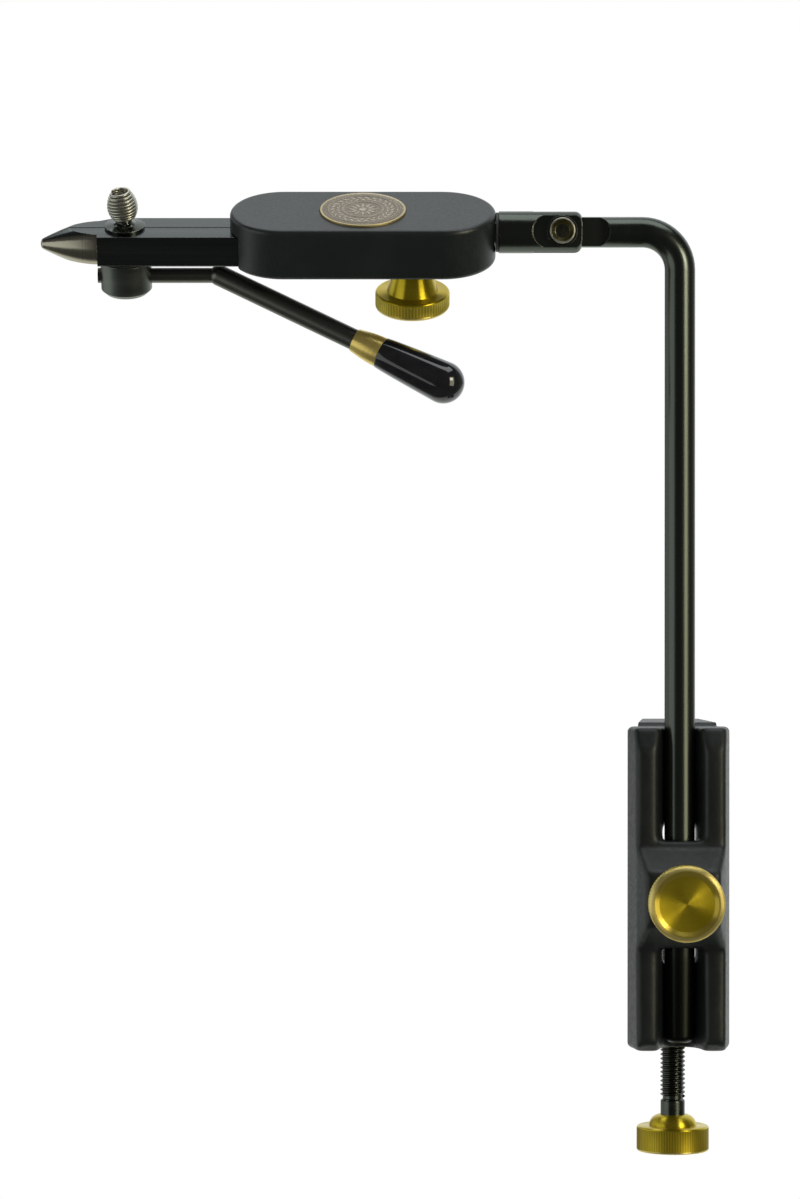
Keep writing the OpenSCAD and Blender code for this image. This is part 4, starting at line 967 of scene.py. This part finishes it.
def makeJaw(name, body, node):
    look = jawLook

    def onShoulder(co):
        atRoot = abs(co.x / mm - look["root"]) < look["slack"]
        return atRoot and co.z / mm > look["top"] - look["shoulderDeep"] and co.y / mm > look["shoulderOut"]

    def slotOf(middle, normal):
        turned = abs(normal.y) + abs(normal.z) > look["flatShare"]
        ahead = middle.x < look["root"] - look["slack"] and middle.z < look["top"] - look["topSlack"]
        return 1 if ahead and turned else 0

    piece = copyNode(node, name)
    bpy.ops.mesh.customdata_custom_splitnormals_clear()
    piece.data.transform(headPlace.inverted())
    editPiece(piece)
    mergeDoubles()
    chooseVerts(piece, onShoulder)  # only the far bar has vertices there
    bpy.ops.transform.translate(value=(look["shoulder"] * mm, 0, 0))
    roundNose(piece, look)
    shareFaces(piece, 2, slotOf)
    finishMesh(piece, headPlace)
    dress(piece, (jawFinish, pointFinish), body, node)


makeJaw("jawNearTurned", "near_jaw", "jaw_near")
makeJaw("jawFarTurned", "far_jaw", "jaw_far")

# pivot screw of the knuckle: a bright rim round a wide socket, whose wall is painted a lighter olive as
# painted light
pivotLook = {
    "fromStem": -0.0368, "proud": 0.00479, "foot": -8.97, "shank": 2.38, "radius": 4.0, "high": 2.6,
    "ease": 0.3, "easeSteps": 4, "footEase": 0.1, "rim": 3.5, "rimDepth": 0.25,
    "mouth": 3.42, "mouthDepth": 0.12, "wall": 2.7, "wallDepth": 1.1,
    "floorRadius": 2.25, "floor": 1.0, "floorEdge": (0.4, 0.1), "turns": 64,
}


def makePivotScrew():
    look = pivotLook
    radius, high, ease, foot = look["radius"], look["high"], look["ease"], look["footEase"]
    edgeIn, edgeDown = look["floorEdge"]

    def slotOf(middle, normal):
        out, up = math.hypot(middle.x, middle.y), middle.z
        if out > look["mouth"] and up > high - look["rimDepth"]:
            return 1
        inSocket = look["floorRadius"] - edgeIn < out < look["rim"] and look["floor"] - edgeDown < up < high
        return 2 if inSocket else 0

    profile = [(0, look["foot"]), (look["shank"], look["foot"]), (look["shank"], 0)]
    profile += [(radius - foot, 0), (radius, foot)]
    profile += arcPoints(radius - ease, high - ease, ease, 0, 90, look["easeSteps"]) + [(look["rim"], high)]
    profile += [(look["mouth"], high - look["mouthDepth"]), (look["wall"], high - look["wallDepth"])]
    profile += [(look["floorRadius"], look["floor"]), (0, look["floor"])]
    piece = turnedPiece("pivotScrewTurned", profile, look["turns"])
    shareFaces(piece, 3, slotOf)
    at = (look["fromStem"], stemAxisY - look["proud"], headHeight)
    finishMesh(piece, Matrix.Translation(at) @ turn(90, "X"))
    dress(piece, (screwFinish, springFinish, socketFinish), "knuckle", "tilt_screw")


makePivotScrew()

# cam washer: as wide as the barrel, so no light shows between it and the jaws
washerLook = {"at": (-0.1727, 0, 0), "low": -8.7, "high": -8.3, "bore": 3.3, "radius": 7.85, "ease": 0.1,
              "turns": 72}


def makeCamWasher():
    look = washerLook
    low, high, bore, radius, ease = look["low"], look["high"], look["bore"], look["radius"], look["ease"]
    profile = [(bore, low), (radius - ease, low), (radius, low + ease)]
    profile += [(radius, high - ease), (radius - ease, high), (bore, high), (bore, low)]
    piece = turnedPiece("camWasherDisc", profile, look["turns"])
    finishMesh(piece, headPlace @ Matrix.Translation(look["at"]))
    dress(piece, (washerFinish,), "lever", "cam_washer")


makeCamWasher()
print("stage: jaws, pivot screw and washer made")

# lever grip: dipped vinyl over the arm
gripLook = {"start": 57.4, "length": 28.4, "bore": 3.3, "root": 5.0, "radius": 6.6, "lip": 0.35, "swell": 0.8,
            "lipSteps": 4, "bodySteps": 12, "domeSteps": 24, "turns": 96}


def makeGrip():
    look = gripLook
    root, radius, lip = look["root"], look["radius"], look["lip"]
    bodyEnd = look["length"] - radius
    profile = [(look["bore"], 0), (root - lip, 0)]
    profile += arcPoints(root - lip, lip, lip, -90, 0, look["lipSteps"])
    for i in range(1, look["bodySteps"] + 1):
        u = i / look["bodySteps"]
        profile.append((root + (radius - root) * u ** look["swell"], lip + (bodyEnd - lip) * u))
    profile += arcPoints(0, bodyEnd, radius, 0, 90, look["domeSteps"])[1:]
    piece = turnedPiece("gripVinyl", profile, look["turns"])
    start = Matrix.Translation((look["start"] * mm, 0, 0))
    finishMesh(piece, leverPlace @ start @ turn(90, "Y"), smoothAngle=60)
    dress(piece, (vinylFinish,), "lever", "lever_grip")


makeGrip()
print("stage: grip made")

# finishes on the CAD nodes that stay
nodeFinishes = {
    "head_housing": housingFinish, "head_cover": housingFinish,
    "stem_rod": stemFinish, "knuckle_barrel": knuckleFinish, "lever_rod": leverFinish,
    "cam_barrel": cradleFinish, "cam_collar": collarFinish, "clamp_pad": screwFinish,
    "cam_shaft": brightFinish, "pad_clip": springFinish, "spindle_ring": springFinish,
    "jaw_pivot_pins": brightFinish, "tension_screw": brightFinish, "stem_lock_screw": brightFinish,
    "stem_lock_tip": ferruleFinish, "lever_ferrule": ferruleFinish, "tilt_washer": screwFinish,
    "cover_screws": screwFinish, "lever_set_screw": screwFinish, "spindle_washer": washerFinish,
    "tension_plug": plugFinish,
}
for nodeName, finish in nodeFinishes.items():
    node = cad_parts[nodeName]
    node.data.materials.clear()
    node.data.materials.append(finish)
print("stage: CAD nodes dressed")

# floor, lamps and camera
floorLook = {"height": -0.30, "centreX": -0.05, "radius": 1.1, "fadeFrom": 0.5, "fadeTo": 1.0,
             "dark": (0.86, 0.86, 0.86), "light": (0.90, 0.90, 0.90)}
cameraLook = {"at": (-0.0871, -1.2814, 0.0599), "tiltDown": 0.42, "lens": 120.55, "sensor": 36,
              "nearest": 0.05}
# name, place, aim, size across, size up, watts, colour
lamps = [
    ("topBox", (-0.10, -0.04, 1.22), (-0.08, 0, 0.05), 1.7, 0.72, 8.0, (0.93, 0.97, 1.0)),
    ("frontRight", (0.78, -0.82, 0.16), (-0.02, 0, 0.05), 0.5, 0.9, 3.9, (1.0, 0.93, 0.66)),
    ("kick", (0.72, -0.84, 0.40), (0, 0, 0), 0.30, 0.26, 2.0, (1.0, 0.96, 0.84)),
    ("leftTall", (-1.18, -0.49, -0.03), (-0.08, 0, -0.02), 1.1, 0.86, 2.8, (0.95, 1.0, 0.98)),
]
worldLook = {
    "backdrop": 0.97, "sideFill": 0.06, "diffuse": 0.5,
    "edge": (0.75, 0.98), "above": 0.51, "below": -0.80, "aside": 0.25,
    "leftGlow": 0.68, "leftFrom": (-0.50, -0.85), "rightGlow": 0.2, "rightFrom": (0.60, 0.90),
    "glowDepth": (-0.15, 0.2), "glowLevel": (0.75, 0.5),
    "tintLow": (0.95, 1.0, 0.93), "tintHigh": (0.93, 0.97, 1.0), "tintSpan": (-0.5, 0.6),
}


def makeFloor():
    look = floorLook
    deselectAll()
    bpy.ops.mesh.primitive_circle_add(vertices=96, radius=look["radius"], fill_type="NGON",
                                      location=(look["centreX"], 0, look["height"]))
    floor = bpy.context.object
    floor.name = "studioFloor"
    bpy.ops.object.transform_apply(location=True)
    material, tree, shader = newMaterial("paleFloor", Roughness=0.8, Specular_IOR_Level=0.2)
    coords = addNode(tree, "ShaderNodeTexCoord")
    flat = vectorMath(tree, "MULTIPLY", coords.outputs["Object"], (1, 1, 0))
    length = addNode(tree, "ShaderNodeVectorMath", {"operation": "LENGTH"})
    tree.links.new(flat, length.inputs[0])
    noise = addNode(tree, "ShaderNodeTexNoise", Scale=8.0, Detail=3.0)
    tree.links.new(coords.outputs["Object"], noise.inputs["Vector"])
    shade = mixColour(tree, noise.outputs[0], look["dark"], look["light"])
    tree.links.new(shade, shader.inputs["Base Color"])
    fade = remap(tree, length.outputs["Value"], look["fadeFrom"], look["fadeTo"], 1.0, 0.0)
    tree.links.new(fade, shader.inputs["Alpha"])
    floor.data.materials.append(material)
    floor.visible_glossy = False
    floor.visible_shadow = False


def makeLamp(name, place, aim, across, up, watts, colour):
    data = bpy.data.lights.new(name, "AREA")
    data.shape = "RECTANGLE"
    data.size, data.size_y = across, up
    data.energy = watts
    data.color = colour
    lamp = bpy.data.objects.new(name, data)
    bpy.context.collection.objects.link(lamp)
    lamp.location = place
    lamp.rotation_euler = (Vector(aim) - Vector(place)).to_track_quat("-Z", "Y").to_euler()
    lamp.visible_camera = False


# a pale sheet hangs behind the vise, and the rest that it mirrors is dim
def mirroredStudio(tree, towards):
    look = worldLook
    above = mathNode(tree, "MULTIPLY", mathNode(tree, "MAXIMUM", towards[2], 0.0), look["above"])
    below = mathNode(tree, "MULTIPLY", mathNode(tree, "MINIMUM", towards[2], 0.0), look["below"])
    aside = mathNode(tree, "MULTIPLY", towards[0], look["aside"])
    behind = mathNode(tree, "ADD", towards[1], mathNode(tree, "ADD", above, below))
    behind = mathNode(tree, "ADD", behind, aside)
    sheet = remap(tree, behind, *look["edge"], look["sideFill"], look["backdrop"])
    # a dim glow from either side, past the edge of the lamps
    left = remap(tree, towards[0], *look["leftFrom"], 0.0, look["leftGlow"])
    right = remap(tree, towards[0], *look["rightFrom"], 0.0, look["rightGlow"])
    glow = mathNode(tree, "MAXIMUM", left, right)
    glow = mathNode(tree, "MULTIPLY", glow, remap(tree, towards[1], *look["glowDepth"]))
    level = remap(tree, mathNode(tree, "ABSOLUTE", towards[2]), *look["glowLevel"])
    return mathNode(tree, "MAXIMUM", sheet, mathNode(tree, "MULTIPLY", glow, level))


def makeWorld():
    look = worldLook
    world = bpy.data.worlds.new("paleStudio")
    bpy.context.scene.world = world
    world.use_nodes = True
    tree = world.node_tree
    background = tree.nodes["Background"]
    path = addNode(tree, "ShaderNodeLightPath")
    coords = addNode(tree, "ShaderNodeTexCoord")
    towards = splitXYZ(tree, coords.outputs["Generated"])
    mirrored = mathNode(tree, "MAXIMUM", path.outputs["Is Glossy Ray"], path.outputs["Is Transmission Ray"])
    seen = mathNode(tree, "MULTIPLY", mirrored, mirroredStudio(tree, towards))
    lit = mathNode(tree, "MULTIPLY", mathNode(tree, "SUBTRACT", 1.0, mirrored), look["diffuse"])
    level = mathNode(tree, "MAXIMUM", mathNode(tree, "ADD", seen, lit), path.outputs["Is Camera Ray"])
    tree.links.new(level, background.inputs["Strength"])
    # what is mirrored is a little blue overhead and a little green below
    tint = mixColour(tree, remap(tree, towards[2], *look["tintSpan"]), look["tintLow"], look["tintHigh"])
    tree.links.new(mixColour(tree, mirrored, (1, 1, 1), tint), background.inputs["Color"])


def makeCamera():
    look = cameraLook
    data = bpy.data.cameras.new("photoCamera")
    camera = bpy.data.objects.new("photoCamera", data)
    bpy.context.collection.objects.link(camera)
    camera.location = look["at"]
    camera.rotation_euler = (math.radians(90 - look["tiltDown"]), 0, 0)
    data.lens = look["lens"]
    data.sensor_width = look["sensor"]
    data.clip_start = look["nearest"]
    bpy.context.scene.camera = camera


makeFloor()
for lamp in lamps:
    makeLamp(*lamp)
makeWorld()
makeCamera()
bpy.context.scene.view_settings.view_transform = "Standard"
print("stage: floor, lamps and camera set")

deselectAll()
